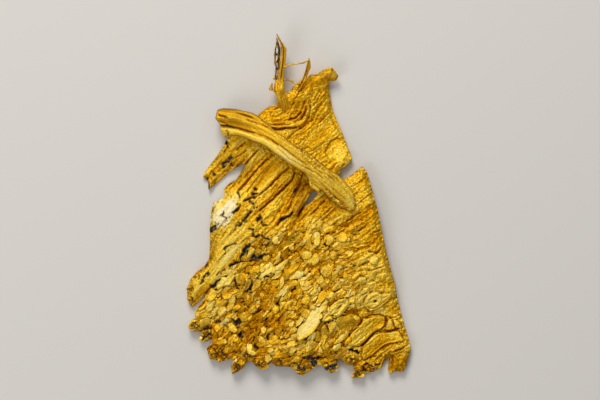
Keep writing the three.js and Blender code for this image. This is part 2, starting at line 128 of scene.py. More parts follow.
OUTLINE = [
    # top edge and peak
    (286, 94), (291, 89), (293, 85), (297, 83), (302, 78), (306, 77), (310, 74), (317, 73.5), (323, 69),
    (331, 67), (335, 71), (338, 75.5), (336, 79.5), (330, 80.5),
    # right edge down to the notch
    (328.3, 86), (330, 98), (332.5, 110), (338.5, 124), (344, 137), (350, 153), (351.8, 158.5),
    (346, 165.5), (341, 169), (337.5, 175), (343, 179), (351, 174.5), (357, 169.5), (362, 166),
    # straight right edge
    (366, 170), (369, 180), (372, 191), (376, 205), (379.5, 220), (383, 238), (386.5, 254), (391, 271),
    (395, 284), (397, 298), (401, 314), (404.3, 326), (407, 334), (410.5, 346),
    # bottom edge, from right to left
    (408.5, 357), (406, 365), (403, 371.5), (395, 371), (390, 373.5), (387.5, 370), (389.5, 357),
    (384, 361.5), (380.5, 368.5), (373, 371), (366, 372), (362, 377), (354, 378), (350.5, 377.5),
    (354, 372), (353, 365), (346, 364), (342, 361), (340.5, 357.5), (336.5, 361), (337, 366), (335, 371),
    (331, 373), (325, 369.5), (321, 364.5), (315, 366), (309, 371), (302, 375), (296.5, 373.5),
    (294.5, 367), (284, 366), (276, 366), (270.5, 361.5), (266, 367), (260, 369), (255.5, 366),
    (253, 362.5), (247.5, 360), (243, 367), (238, 371), (231.5, 374), (230.5, 366), (233.5, 360),
    (232.5, 356.5), (227, 359.5), (219, 362), (215, 359.5), (209, 359), (207, 351), (205.5, 348.5),
    (211, 343.5), (214.5, 338), (209, 340), (203, 342), (198.5, 338), (201.5, 332), (194, 331.5),
    (188, 326), (189, 321.5), (195, 317.5),
    # left edge, with the lobe that a gap parts from the sheet
    (194, 313), (197, 307.5), (201, 302.5), (205.5, 293), (198, 301.5), (191, 307.5), (186.5, 299),
    (186.5, 289), (189.5, 279), (196, 271.5), (204, 265.5), (208.5, 258), (209.5, 245), (209, 229),
    (210.3, 212), (213, 202), (220, 199), (224, 195), (223, 189), (227, 184), (236, 178.5), (241, 170.5),
    (244.8, 162.5),
    # claw
    (237, 166), (230, 170), (221, 177.5), (211, 186.5), (207.5, 189), (207.5, 181), (202, 175.5),
    (207, 167), (214, 158), (220.5, 149.5), (226, 139),
    # under the head of the band, and back to the spike
    (230, 128), (245, 119), (256, 115.3), (263, 109.5), (268, 106), (275.5, 104.2), (278, 101.5),
    (277.5, 97), (279, 94),
]
SLIT = [
    (311, 191), (314, 190), (317, 192.5), (315.5, 196), (313, 199), (310, 202.5), (305, 205.5),
    (302, 209), (303, 205), (306, 200), (309, 195),
]

# Smooth dips of the form: centre u, v, reach across and along in squares, and depth in mm.
DIPS = [
    (214, 312, 44, 50, 3.0),  # feet
    (386, 342, 40, 52, 3.0),
    (330, 118, 34, 44, 3.8),
    (214, 172, 22, 22, 2.9),
    (276, 182, 40, 30, 1.3),  # hollow under the band
    (284, 112, 20, 14, 1.2),  # bowl by the spike
    (330, 68, 16, 10, -2.2),  # lift of the peak
]


def oval(u, v, at_u, at_v, long, wide, lean=0):
    """How far u, v lies out in an oval, squared: 0 in its middle and 1 on its rim. It reaches
    `long` and `wide` squares from its middle and leans `lean` degrees up from the right."""
    cos, sin = math.cos(math.radians(lean)), math.sin(math.radians(lean))
    du, dv = u - at_u, at_v - v
    return ((du * cos + dv * sin) / long) ** 2 + ((dv * cos - du * sin) / wide) ** 2


def soft_spot(u, v, *shape):
    """A soft oval spot: 1 in its middle, and fading out past its rim."""
    return np.exp(-oval(u, v, *shape))


def level(u, v):
    """Height in mm of the sheet's smoothed face: a flat dome with two shallow waves and dips."""
    z = DOME_HIGH + 0.35 * np.sin((u + 0.6 * v) / 19) + 0.25 * np.sin((v - 0.5 * u) / 12)
    for *shape, deep in DIPS:
        z = z - deep * soft_spot(u, v, *shape)
    return z


def nearest_on(path, u, v, closed=False):
    """How far u, v lies from a path in squares, to which side of it, how far along it (in
    squares) the nearest point is, and that point."""
    points = np.array(path + path[:1] if closed else path, float)
    steps = np.diff(points, axis=0)
    lengths = np.hypot(*steps.T)
    before = np.concatenate([[0], np.cumsum(lengths)])
    apart = np.full(np.shape(u), np.inf)
    side, along, near_u, near_v = (np.zeros_like(apart) for _ in range(4))
    for start, step, length, so_far in zip(points, steps, lengths, before):
        t = ((u - start[0]) * step[0] + (v - start[1]) * step[1]) / length**2
        t = np.clip(t, 0, 1)
        at_u, at_v = start[0] + t * step[0], start[1] + t * step[1]
        far = np.hypot(u - at_u, v - at_v)
        closer = far < apart
        turn = step[0] * (v - start[1]) - step[1] * (u - start[0])
        apart = np.where(closer, far, apart)
        side = np.where(closer, np.sign(turn), side)
        along = np.where(closer, so_far + t * length, along)
        near_u, near_v = np.where(closer, at_u, near_u), np.where(closer, at_v, near_v)
    return apart, side, along, near_u, near_v


def is_inside(path, u, v):
    """True where u, v lies inside a closed path."""
    odd = np.zeros(np.shape(u), bool)
    for (u1, v1), (u2, v2) in zip(path, path[1:] + path[:1]):
        if v1 != v2:
            crosses = (v1 > v) != (v2 > v)
            odd ^= crosses & (u < u1 + (v - v1) * (u2 - u1) / (v2 - v1))
    return odd


# ---------------------------------------------------------------- sheet: its relief
# The face is streaked, ribbed and crusted by the way the crystals grew, so its height is worked
# out on a fine raster: streaks that follow the growth, then cracks, ribs, plates and flakes.

CELL = 0.5  # of the raster, in squares
RASTER_U, RASTER_V = np.meshgrid(np.arange(180, 416, CELL), np.arange(30, 384, CELL))
dice = np.random.default_rng(11)


def soften(field, reach):
    """The field smoothed over `reach` squares."""
    high, wide = field.shape
    waves_v = np.fft.fftfreq(high)[:, None]
    waves_u = np.fft.rfftfreq(wide)[None, :]
    keep = np.exp(-2 * (math.pi * reach / CELL) ** 2 * (waves_u**2 + waves_v**2))
    return np.fft.irfft2(np.fft.rfft2(field) * keep, s=field.shape)


def between(field, r, c, a, b):
    """The field `a` of the way from column c to the next, and `b` of the way from row r."""
    top = field[r, c] * (1 - a) + field[r, c + 1] * a
    low = field[r + 1, c] * (1 - a) + field[r + 1, c + 1] * a
    return top * (1 - b) + low * b


def look_up(field, u, v):
    """The field's value at u, v, which lie between the raster's points."""
    col = np.clip((np.asarray(u) - RASTER_U[0, 0]) / CELL, 0, field.shape[1] - 1.001)
    row = np.clip((np.asarray(v) - RASTER_V[0, 0]) / CELL, 0, field.shape[0] - 1.001)
    c, r = col.astype(int), row.astype(int)
    return between(field, r, c, col - c, row - r)


def step_up(field, start, end):
    """0 below start, 1 above end, and smooth between."""
    t = np.clip((field - start) / (end - start), 0, 1)
    return t * t * (3 - 2 * t)


def bell(x, wide):
    """1 where x is 0, fading out on both sides over about `wide`."""
    return np.exp(-((x / wide) ** 2))


# Which way the growth runs at some places, in degrees up from the right.
GROWTH = [
    # upper sheet: it swings round the foot of the spike
    (283, 103, 85), (290, 100, 70), (292, 112, 50), (303, 104, 78), (300, 112, 60), (294, 118, 26),
    (287, 120, 10), (308, 92, 62), (315, 88, 62), (322, 78, 36), (330, 74, 22), (318, 102, 56),
    (310, 114, 74), (304, 125, 44), (296, 129, 18), (275, 122, 0), (264, 116, 2), (324, 112, 48),
    (327, 128, 45), (340, 145, 40), (322, 150, 42), (345, 160, 38), (310, 145, 45),
    # slope under the band, and the claw
    (235, 155, 42), (215, 170, 42), (252, 168, 50), (270, 172, 46), (282, 185, 47), (292, 190, 58),
    (299, 203, 61), (306, 216, 58), (318, 204, 48), (330, 206, 45), (325, 224, 40), (245, 190, 50),
    (234, 205, 54),
    # planks at the left
    (215, 240, 62), (230, 225, 50), (228, 250, 45), (214, 272, 50), (200, 285, 50), (242, 235, 45),
    # right side
    (360, 180, 40), (370, 200, 35), (360, 215, 35), (375, 235, 45), (360, 245, 8), (375, 255, 35),
    (350, 262, 25), (365, 270, 12), (350, 280, 40), (365, 286, 35), (385, 285, 2), (382, 300, 35),
    (370, 312, 8), (350, 335, 42), (372, 325, 40), (385, 345, 30), (402, 345, 40), (395, 362, 80),
    # crust
    (320, 265, 45), (300, 270, 40), (280, 265, 38), (265, 268, 30), (250, 285, 70), (280, 290, 50),
    (300, 300, 45), (290, 320, 50), (270, 340, 30), (250, 325, 45), (225, 300, 40), (215, 320, 45),
    (320, 340, 60), (338, 340, 45), (340, 270, 40), (280, 355, 10), (325, 356, 20), (235, 340, 50),
    (300, 245, 45), (315, 225, 45), (270, 250, 50), (265, 225, 50),
]
turn_x, turn_y = 0, 0
for at_u, at_v, degrees in GROWTH:
    weight = 1 / ((RASTER_U - at_u) ** 2 + (RASTER_V - at_v) ** 2 + 20) ** 2
    turn_x = turn_x + weight * math.cos(math.radians(2 * degrees))
    turn_y = turn_y + weight * math.sin(math.radians(2 * degrees))
growth = np.arctan2(turn_y, turn_x) / 2

STREAK_STEPS = 12  # from the middle of a streak to its end
STREAK_FADE = 1.6


def streaks(across, along):
    """Noise of unit size drawn out along the growth: widths and lengths in squares."""
    grain = soften(dice.standard_normal(RASTER_U.shape), across)
    drawn = np.zeros_like(grain)
    for way in (-1, 1):
        u, v = RASTER_U.copy(), RASTER_V.copy()
        for step in range(STREAK_STEPS):
            turn = look_up(growth, u, v)
            old = (np.cos(turn), np.sin(turn)) if step == 0 else heading
            flip = np.sign(np.cos(turn) * old[0] + np.sin(turn) * old[1])
            heading = (np.cos(turn) * flip, np.sin(turn) * flip)
            u = u + way * heading[0] * along / STREAK_STEPS
            v = v - way * heading[1] * along / STREAK_STEPS
            fade = math.exp(-((STREAK_FADE * step / STREAK_STEPS) ** 2))
            drawn += fade * look_up(grain, u, v)
    return (drawn - drawn.mean()) / drawn.std()


LATTICE_LEFT, LATTICE_TOP = 176, 26  # where the lattices of flakes start
LATTICE_WIDE, LATTICE_HIGH = 240, 360  # and how far they reach, in squares
LATTICE_LIFT, LATTICE_TILT = 0.45, 0.9  # of their flakes
GAP_WIDE = 0.16  # of the pitch


def flaked(pitch, stretch, turn_spread):
    """Overlapping tilted flakes, one to each jittered place of a lattice `pitch` squares wide:
    their height (about -1 to 1), a mask that is 1 in the gaps, and a number for each flake."""
    rows, cols = int(LATTICE_HIGH / pitch) + 4, int(LATTICE_WIDE / pitch) + 4
    seed_u = LATTICE_LEFT + pitch * (np.arange(cols)[None, :] + dice.uniform(0.1, 0.9, (rows, cols)))
    seed_v = LATTICE_TOP + pitch * (np.arange(rows)[:, None] + dice.uniform(0.1, 0.9, (rows, cols)))
    turn = look_up(growth, seed_u, seed_v) + dice.normal(0, turn_spread, seed_u.shape)
    lift = dice.normal(0, LATTICE_LIFT, seed_u.shape)
    tilt_a, tilt_b = dice.normal(0, 1, (2, *seed_u.shape))
    tone = dice.uniform(0, 1, seed_u.shape)
    first = np.full(RASTER_U.shape, np.inf)
    second = np.full(RASTER_U.shape, np.inf)
    height, shade = np.zeros(RASTER_U.shape), np.zeros(RASTER_U.shape)
    col0 = ((RASTER_U - LATTICE_LEFT) / pitch).astype(int)
    row0 = ((RASTER_V - LATTICE_TOP) / pitch).astype(int)
    for down in range(-2, 3):
        for right in range(-2, 3):
            r, c = np.clip(row0 + down, 0, rows - 1), np.clip(col0 + right, 0, cols - 1)
            du, dv = RASTER_U - seed_u[r, c], seed_v[r, c] - RASTER_V
            cos, sin = np.cos(turn[r, c]), np.sin(turn[r, c])
            along, across = (du * cos + dv * sin) / pitch, (dv * cos - du * sin) / pitch
            far = np.hypot(along / stretch, across)
            own = lift[r, c] + LATTICE_TILT * (tilt_a[r, c] * along / stretch + tilt_b[r, c] * across)
            nearer = far < first
            second = np.where(nearer, first, np.minimum(second, far))
            height = np.where(nearer, own, height)
            shade = np.where(nearer, tone[r, c], shade)
            first = np.where(nearer, far, first)
    return height, bell(second - first, GAP_WIDE), shade


# Where the crust of flakes lies, from 0 to 1: below a line across the sheet, thinner at the right,
# and not on the tip of the lobe at the left.
crust_top = 246 - 0.26 * (RASTER_U - 215)
crust = step_up(RASTER_V - crust_top, -8, 14)
crust = crust * (1 - 0.75 * step_up(RASTER_U, 330, 362))
crust = crust * step_up(RASTER_U + 0.6 * RASTER_V - 384, -4, 10)

big_height, big_gap, big_tone = flaked(8.0, 1.8, 0.35)
small_height, small_gap, small_tone = flaked(3.8, 1.6, 0.6)

wide_streaks, fine_streaks = streaks(1.5, 18), streaks(0.65, 9)
grit = soften(dice.standard_normal(RASTER_U.shape), 0.55)
grit = grit / grit.std()
# The streaks are shallower above the band and on the right side.
above_band = step_up(-RASTER_V, -165, -140)
calmer = np.maximum(above_band, 0.7 * step_up(RASTER_U - 0.4 * (RASTER_V - 220), 340, 360))
relief = (0.1 - 0.045 * calmer) * wide_streaks + (0.09 - 0.02 * calmer) * fine_streaks
relief += 0.05 * grit
relief += crust * (0.28 * big_height - 0.45 * big_gap + 0.09 * small_height - 0.15 * small_gap)
relief += (1 - crust) * (0.04 * small_height - 0.08 * small_gap)

# Cracks and grooves: width in squares, depth in mm, then lines of points u, v.
GROOVES = [
    # slope under the band
    (1.2, 0.8, [(273, 153.5), (258, 167), (243.5, 184), (237, 192)]),
    (1.3, 0.9, [(289, 166.5), (274, 180), (264, 190.5), (256, 196), (245, 199)]),
    (1.3, 1.1, [(294.5, 171.5), (291.5, 179.5), (283, 188.5), (274, 197), (265, 205.5), (260, 210)]),
    (1.0, 0.6, [(303, 172), (299, 184), (289.5, 205), (284.5, 216)]),
    (0.9, 0.4, [(300, 178), (294, 192), (284, 208)]),
    (1.4, 1.2, [(303, 206), (298.5, 213), (297.5, 216)]),
    (1.8, 1.4, [(293, 211.5), (288.5, 215.5), (280.5, 219.5), (277, 224)]),
    (1.0, 0.6, [(320, 206), (313, 211.5), (306.5, 217.5)], [(331, 207), (322, 216), (312, 224)]),
    (1.0, 0.5, [(326, 199), (318, 206)]),
    (1.0, 0.6, [(258, 149), (245.5, 162.5), (237.5, 174), (227.5, 185)], [(252, 160), (244, 172),
        (237, 184)]),
    (0.9, 0.5, [(285, 160), (279, 168)], [(290, 176), (280, 186), (272, 193)]),
    # left side
    (1.4, 1.1, [(240.5, 204), (238, 207), (233.5, 213)]),
    (1.9, 1.2, [(250.5, 211), (247.5, 215), (243, 221)]),
    (1.0, 0.7, [(243, 221), (237, 228), (229, 235.5)]),
    (1.0, 0.6, [(235, 241.5), (230, 244), (225, 248.5)]),
    (1.3, 0.9, [(219, 279), (214, 284), (211.5, 286)]),
    (1.3, 1.0, [(211.5, 286), (208, 289), (204.5, 293)]),
    (1.0, 0.6, [(210, 267), (206, 273.5), (203, 279), (199.5, 283), (198, 287)]),
    (1.6, 1.0, [(252, 259.5), (238, 262), (230.5, 265), (228, 267.5)]),
    (1.0, 0.6, [(207.5, 263.5), (204.5, 267)]),
    (1.2, 0.7, [(236, 277), (234, 282)]),
    (1.0, 0.6, [(213, 289), (215, 290)]),
    (1.1, 0.6, [(202, 318.5), (209, 317.5), (215, 318)]),
    (1.0, 0.6, [(197, 308), (203, 304), (206.5, 300)]),
    # crust
    (1.1, 0.7, [(281, 257.5), (288.5, 255), (296, 251.5), (304.5, 242.5)]),
    (1.3, 0.9, [(290, 279.5), (300, 278.5), (304, 275.5), (308.5, 274)]),
    (1.2, 0.8, [(251, 314), (256, 312), (260.5, 309.5)]),
    (1.1, 0.7, [(298, 233), (304, 232), (310.5, 232.5)]),
    (1.2, 0.9, [(321, 233), (323.5, 236), (323.5, 242), (326, 246.5), (331, 246)]),
    (1.1, 0.7, [(326, 232), (331, 232.5), (334, 231)]),
    (1.3, 0.9, [(322, 261.5), (327, 259.5), (331, 258.5)]),
    (1.2, 0.9, [(319.5, 264), (319, 270), (321.5, 275)]),
    (1.1, 0.7, [(332, 271), (338, 269.5), (345, 267.5), (350, 264)]),
    (1.3, 0.9, [(340, 278), (345, 275)]),
    (1.1, 0.7, [(342, 249.5), (348, 248), (355, 248)]),
    (1.0, 0.6, [(323, 265.5), (326, 266.5), (329, 269)]),
    (1.2, 0.8, [(320, 290), (325, 288.5), (329.5, 288)]),
    (1.0, 0.7, [(335, 292), (337, 290), (340, 288)]),
    (1.0, 0.6, [(328, 299), (332, 298), (336, 296), (341, 293)], [(302, 294), (309, 293)]),
    (1.2, 0.8, [(301, 307.5), (304, 306.5), (308, 307.5), (310.5, 311)]),
    (1.0, 0.6, [(309, 305), (313, 303), (315, 300)], [(271, 279.5), (279.5, 277.5), (281, 273),
        (283.5, 268.5)], [(274, 265), (281, 261), (288, 257)]),
    (1.3, 0.9, [(277, 297.5), (276.8, 301), (278, 305)]),
    (1.0, 0.6, [(283.5, 312), (282.5, 318.5)], [(279, 339), (285, 339), (290.5, 336)]),
    (1.2, 0.9, [(270, 336), (274, 334), (277, 331)]),
    (1.0, 0.6, [(268.5, 325), (268.2, 329), (270.5, 332)]),
    (1.1, 0.7, [(312, 348.5), (315, 348.5), (316.5, 346.5)]),
    (1.0, 0.6, [(322, 351), (327, 350.5)]),
    (1.4, 1.0, [(317, 359), (322, 357.5), (328, 354.5)]),
    (1.1, 0.7, [(309, 342), (308.3, 348), (304.5, 351)]),
    (1.0, 0.6, [(331, 346.5), (336, 343.5), (342, 342)]),
    # upper sheet
    (1.2, 0.9, [(304, 100), (303, 105), (300, 112), (295.5, 116.5), (288, 119.5)]),
    (1.1, 0.9, [(305.5, 106), (304.5, 110), (303, 114.5), (300, 119.5)]),
    (1.0, 0.6, [(310.5, 101), (310, 108), (308.5, 118), (304, 124), (299, 128.5)]),
    (1.4, 0.9, [(262, 123), (270, 127.5), (277, 128.5), (290, 127.5), (299.5, 126.5)]),
    (1.0, 0.5, [(313, 119), (308.5, 121.5), (302, 127), (294.5, 131.5), (288, 138)]),
    (0.8, 0.4, [(268, 124.5), (279, 124), (290, 124.5)]),
    (1.0, 0.4, [(320.5, 137), (328, 133.5), (334.5, 127)], [(331, 169), (337, 162.5)]),
    (1.0, 0.5, [(317, 123.5), (321, 120), (325, 116), (329, 112)], [(312, 106), (316, 101.5), (318, 98)]),
    (0.9, 0.4, [(322, 97), (325, 94.5), (326, 91)], [(291, 106.5), (295, 98), (300.5, 89), (308, 83)]),
    (1.0, 0.6, [(273.5, 109.5), (278.5, 107), (288, 108)]),
    # claw
    (1.0, 0.6, [(246, 150), (232, 159), (216, 172)]),
    (1.1, 0.7, [(231, 154), (226, 160), (222, 164)]),
    (1.0, 0.6, [(222, 160), (214, 169), (208, 176)], [(236, 150), (240, 146), (246, 141)]),
    # lower right
    (1.2, 0.9, [(361, 346), (366, 341), (370, 336), (374, 332.5), (378, 330.5), (384, 331)]),
    (1.3, 1.0, [(378, 330.5), (384, 331.3), (390, 331), (395, 329.5), (399, 328.5)]),
    (1.0, 0.7, [(385.5, 317), (385.8, 322), (384, 327), (380, 330.5)], [(362, 317.5), (366, 316.5),
        (372, 315), (380, 314.5), (385.5, 316.5)]),
    (1.0, 0.6, [(385.5, 316.8), (390, 317), (394, 317.5), (398, 315.5), (400.5, 314)], [(366, 311.5),
        (370, 311), (375, 309), (380, 306), (385, 301.5), (390, 298)], [(356, 308), (357, 314),
        (361.5, 319), (361, 323), (357.5, 327), (352.5, 330)], [(350.5, 331), (348, 337), (345.5, 343),
        (343, 349)], [(372, 325), (376.5, 321.5)], [(374.5, 327), (380.5, 322.5)]),
    (0.8, 0.4, [(360, 334), (366, 328), (371, 321.5)]),
    (1.2, 0.8, [(371, 353), (376, 349), (380, 346), (385, 342.5), (390, 340.8), (397, 340)]),
    (1.0, 0.6, [(391, 353), (396, 351), (400, 348.5), (406, 346), (409, 343.5)], [(370, 357.5),
        (376, 355.5)]),
    (1.4, 1.0, [(374, 364.5), (379.5, 364.5)]),
    (1.8, 1.2, [(350, 349.5), (354, 349.5), (357.5, 352)]),
    (1.0, 0.6, [(341, 355), (347, 354.5), (350, 351)]),
    # right side
    (1.2, 0.8, [(351, 234), (355, 232.5), (360, 229), (366, 225)]),
    (1.0, 0.6, [(356, 244.5), (362, 243), (369.5, 242)]),
    (1.1, 0.7, [(368, 250.5), (372, 251.3), (376, 252), (380, 249), (381.5, 246.5)]),
    (1.0, 0.6, [(361, 264.5), (365, 262.2), (369.5, 259.5)], [(352, 266.5), (356, 263)], [(368, 270.3),
        (373, 269), (379, 267), (384, 266.5)], [(374, 232), (379.5, 229.5)], [(354, 277), (359, 275.5),
        (364, 276), (366, 279.5)], [(359, 292.5), (361, 290), (363.5, 286.5)], [(364, 288), (368, 285)],
        [(361, 294.7), (367, 292)], [(350, 296), (354.5, 294.5), (358, 292.5)]),
    (0.8, 0.4, [(353, 186), (360, 181), (367, 176)]),
    (0.9, 0.5, [(358, 203), (365, 197), (371, 193)], [(346, 222), (353, 216), (362, 211)], [(338, 226),
        (345, 221), (350, 219)]),
]
# Thin raised ridges: width in squares, height in mm, then lines of points.
RIDGES = [
    (1.3, 0.5, [(278, 342.5), (283, 341.5), (288, 339.5), (291, 336.5), (292, 333)]),
    (1.5, 0.5, [(290, 320), (296, 315), (299, 311.5)]),
    (1.8, 0.5, [(354, 247), (360, 246), (368, 244.7)]),
    (1.5, 0.4, [(334, 232), (338, 229), (342, 227), (345.5, 227.5)], [(350, 235.3), (356, 235.8)]),
    (1.5, 0.5, [(240, 305), (244, 303.5), (248, 301.5)]),
    (1.4, 0.5, [(309, 239), (310, 243), (311.5, 247)]),
    (1.6, 0.5, [(383, 346), (390, 343), (396, 342)]),
    (1.3, 0.4, [(392, 354.5), (398, 351.5), (403, 350)]),
    (1.6, 0.4, [(371, 318.5), (377, 318), (383, 317)]),
    (1.4, 0.4, [(376, 335), (386, 333.3), (393, 331.8)]),
    (1.5, 0.5, [(302, 106), (301, 112), (298, 117), (293, 120)]),
    (1.5, 0.4, [(307.5, 104), (307, 112), (304.5, 120), (299, 124.5)]),
    (1.4, 0.4, [(274, 122.5), (284, 122.3)], [(331, 77.5), (336, 74)]),
    (1.8, 0.5, [(322.5, 95.5), (325, 91.5)], [(283, 93), (281.5, 88)]),
    (2.2, 0.6, [(255, 157), (246, 169), (238, 181)]),
    (2.0, 0.5, [(266, 165), (254, 180), (246, 190)], [(280, 184), (268, 197), (258, 205)]),
    (1.6, 0.5, [(303, 196), (298, 206), (291, 218)]),
    (1.5, 0.4, [(315, 203), (305, 213), (297, 221)]),
]


def around(path, reach):
    """The rows and columns of the raster within `reach` squares of a path."""
    (left, top), (right, bottom) = np.min(path, axis=0) - reach, np.max(path, axis=0) + reach
    rows = np.clip((np.array([top, bottom]) - RASTER_V[0, 0]) / CELL, 0, len(RASTER_V)).astype(int)
    cols = np.clip((np.array([left, right]) - RASTER_U[0, 0]) / CELL, 0, RASTER_U.shape[1]).astype(int)
    return slice(*rows), slice(*cols)


def squares_inside(path, area):
    """How far inside a closed path the raster's points in an area lie; negative outside it."""
    u, v = RASTER_U[area], RASTER_V[area]
    apart, *_ = nearest_on(path, u, v, closed=True)
    return np.where(is_inside(path, u, v), apart, -apart)


# Noise of unit size that makes lines and pits jagged.
stray_u, stray_v = (soften(dice.standard_normal(RASTER_U.shape), 1.3) for _ in range(2))
stray_u, stray_v = stray_u / stray_u.std(), stray_v / stray_v.std()


LINE_JAGGED, BLACK_JAGGED = 0.22, 0.7  # squares


def jagged(area, by):
    """The raster's points in an area, moved at random by about `by` squares."""
    return RASTER_U[area] + by * stray_u[area], RASTER_V[area] + by * stray_v[area]


def line_up(field, wide, high, path):
    """Raises a line on the raster, or sinks it where `high` is negative; its ends taper off."""
    area = around(path, 3 * wide + 2)
    apart, _, along, *_ = nearest_on(path, *jagged(area, LINE_JAGGED))
    whole = along.max()
    taper = np.clip(4 * along * (whole - along) / whole**2, 0, 1) ** 0.4
    field[area] += high * (0.4 + 0.6 * taper) * bell(apart, 0.6 * wide)


for wide, deep, *paths in GROOVES:
    for path in paths:
        line_up(relief, wide, -deep, path)
for wide, high, *paths in RIDGES:
    for path in paths:
        line_up(relief, wide, high, path)

# Smooth places: plates that lie clear of the crust, then calmer parts of the slope, the planks
# and the upper sheet. Lift in mm, how smooth, rise towards the lower right in mm a square, and
# the outline.
PLATES = [
    (0.7, 1.0, 0.065, [(319.5, 306.5), (322, 304.5), (326.5, 304), (327.5, 306.5), (325, 309),
        (321, 312), (319.5, 317), (320, 322), (317, 327), (312, 333), (306, 337), (302, 339.5),
        (297, 340), (295.5, 335), (296.5, 328), (300, 324), (304.5, 321), (307, 316.5), (310, 312),
        (312, 308), (315, 306)]),
    (0.5, 0.9, 0.06, [(215, 286), (219, 281), (221, 277), (226, 276.5), (229, 272), (234, 272),
        (234, 276), (232, 280), (230, 285), (225, 285.5), (221, 287.5), (217, 290)]),
    (0.5, 0.7, 0.03, [(208, 300), (213, 299), (215, 302), (213, 306), (211, 310), (208, 311.5),
        (204, 309), (206, 304)]),
    (0.6, 0.82, 0.015, [(363, 318.5), (370, 317.5), (377, 317), (383, 316.5), (385, 318), (385, 322),
        (383.5, 326), (380.5, 329), (377, 330), (373, 332.5), (370, 335.5), (366, 340), (359, 345.5),
        (352, 346), (347, 345), (348, 338), (351, 332), (357, 327), (361, 323)]),
    (0.7, 0.82, 0.0, [(363, 346), (367, 341), (371, 337), (375, 334), (381, 332.8), (386, 332.6),
        (392, 331.5), (398, 330.5), (401, 335), (404, 341), (396, 342), (390, 343), (384, 345),
        (378, 350), (372, 355), (367, 358), (363, 360), (361, 354)]),
    (0.5, 0.8, 0.0, [(387.5, 319), (391, 318.5), (392, 321), (393.5, 326), (395, 328.5), (390, 330),
        (385, 330.5), (385.5, 328), (387, 324)]),
    (0.4, 0.7, 0.0, [(393, 320.5), (397, 320), (400, 323), (402, 327.5), (397, 328), (394.5, 326)]),
    (-0.2, 0.9, 0.0, [(272, 160), (283, 164), (279, 172), (268, 182), (258, 192), (248, 196), (247, 189),
        (258, 175)]),
    (0.2, 0.7, 0.05, [(223, 201), (231, 198), (235, 203), (231, 211), (224, 220), (217, 229), (212, 226),
        (212, 214), (216, 204)]),
    (0.1, 0.75, 0.02, [(250, 213), (255, 222), (248, 232), (238, 240), (228, 248), (221, 257),
        (215, 261), (213, 250), (222, 240), (232, 230), (243, 219)]),
    (0.1, 0.75, 0.02, [(249, 236), (247, 243), (240, 252), (232, 262), (222, 270), (212, 282),
        (204, 291), (197, 298), (191, 299), (190, 291), (198, 284), (207, 272), (216, 262), (226, 252),
        (238, 243)]),
    (-0.3, 0.8, 0.02, [(330, 140), (338, 137), (345, 146), (347, 157), (341, 163), (331, 163), (324, 152)]),
    (0.2, 0.8, 0.02, [(312, 132), (322, 124), (333, 118), (336, 128), (326, 140), (312, 150), (306, 145)]),
]
CREASE_OUT = 0.6  # squares outside a plate or a curl, where a crease parts it from the crust
RAISED = 0.3  # mm of lift over which a plate is clear of the crust
smooth_places = np.zeros(RASTER_U.shape)
for lift, smooth, rise, path in PLATES:
    area = around(path, 5)
    inner = squares_inside(path, area)
    mask = smooth * step_up(inner, -CREASE_OUT, 0.9)
    middle_u, middle_v = np.mean(path, axis=0)
    lean = rise * (0.4 * (RASTER_U[area] - middle_u) + RASTER_V[area] - middle_v)
    own = 0.1 * relief[area] + 0.03 * fine_streaks[area] + lift + lean
    relief[area] = relief[area] * (1 - mask) + own * mask
    smooth_places[area] = np.maximum(smooth_places[area], mask * (lift > RAISED))
    relief[area] -= 0.3 * bell(inner + CREASE_OUT, 0.6) * (lift > RAISED)

# Two ends of leaf are curled over: the outline of each, then its grooves and ridges, with their
# width in squares and height in mm.
CURLS = [
    [(330, 305.5), (333, 302.5), (336.5, 299.7), (341, 297.8), (345.5, 297), (348.6, 298.6),
     (349.8, 302.5), (348.4, 306.5), (345.3, 310.5), (341.3, 314.5), (337, 317.5), (332, 319.5),
     (325, 321.3), (321, 320), (323.5, 316), (328, 310)],
    [(363.5, 303), (364.5, 298.5), (367.5, 294.5), (372, 292), (378, 291.6), (382, 294), (386, 293.8),
     (390, 293.5), (391, 297), (386.5, 301.5), (381, 306), (375.5, 309.5), (370, 311), (366, 308)],
]
CURL_LINES = [
    (1.6, 0.32, [(338, 301), (341.5, 299.4), (345, 298.6), (347.2, 301.2), (345, 306.2), (340, 312.2),
        (333, 317), (325, 319.8)]),
    (0.9, -0.35, [(337.5, 303.4), (341.5, 301.6), (344.3, 301.6), (344.2, 304)]),
    (1.3, -0.75, [(336.3, 308.8), (338.8, 306.6), (341.6, 304.6)]),
    (0.9, -0.35, [(325.6, 316.8), (331.4, 314.8), (336, 312), (339, 309.4)]),
    (1.5, 0.3, [(366, 303.4), (367, 298.8), (371, 295), (376, 293.8), (379.8, 296), (380, 300.4),
        (376.5, 305), (371.5, 307)]),
    (1.0, -0.5, [(364.6, 302.6), (366, 306), (369.6, 308.2), (374.6, 307.6), (379, 305), (383.6, 302),
        (388.4, 297.6)]),
    (0.9, -0.25, [(369, 302), (370.6, 298.4), (374, 297), (377, 298.6)]),
    (1.5, -0.8, [(373.8, 302.2), (375.4, 300.8)]),
    (0.9, -0.35, [(381.4, 298.4), (385, 296.6), (389, 295.6)]),
    (1.0, 0.25, [(370, 310), (376, 308.6), (381, 305.6), (386, 301)]),
]
for path in CURLS:
    area = around(path, 4)
    inner = squares_inside(path, area)
    mask = step_up(inner, -CREASE_OUT, 0.8)
    own = 0.5 + 0.04 * fine_streaks[area] + 0.1 * relief[area]
    relief[area] = relief[area] * (1 - mask) + own * mask
    smooth_places[area] = np.maximum(smooth_places[area], mask)
    relief[area] -= 0.25 * bell(inner + CREASE_OUT, 0.7)
for wide, high, path in CURL_LINES:
    line_up(relief, wide, high, path)

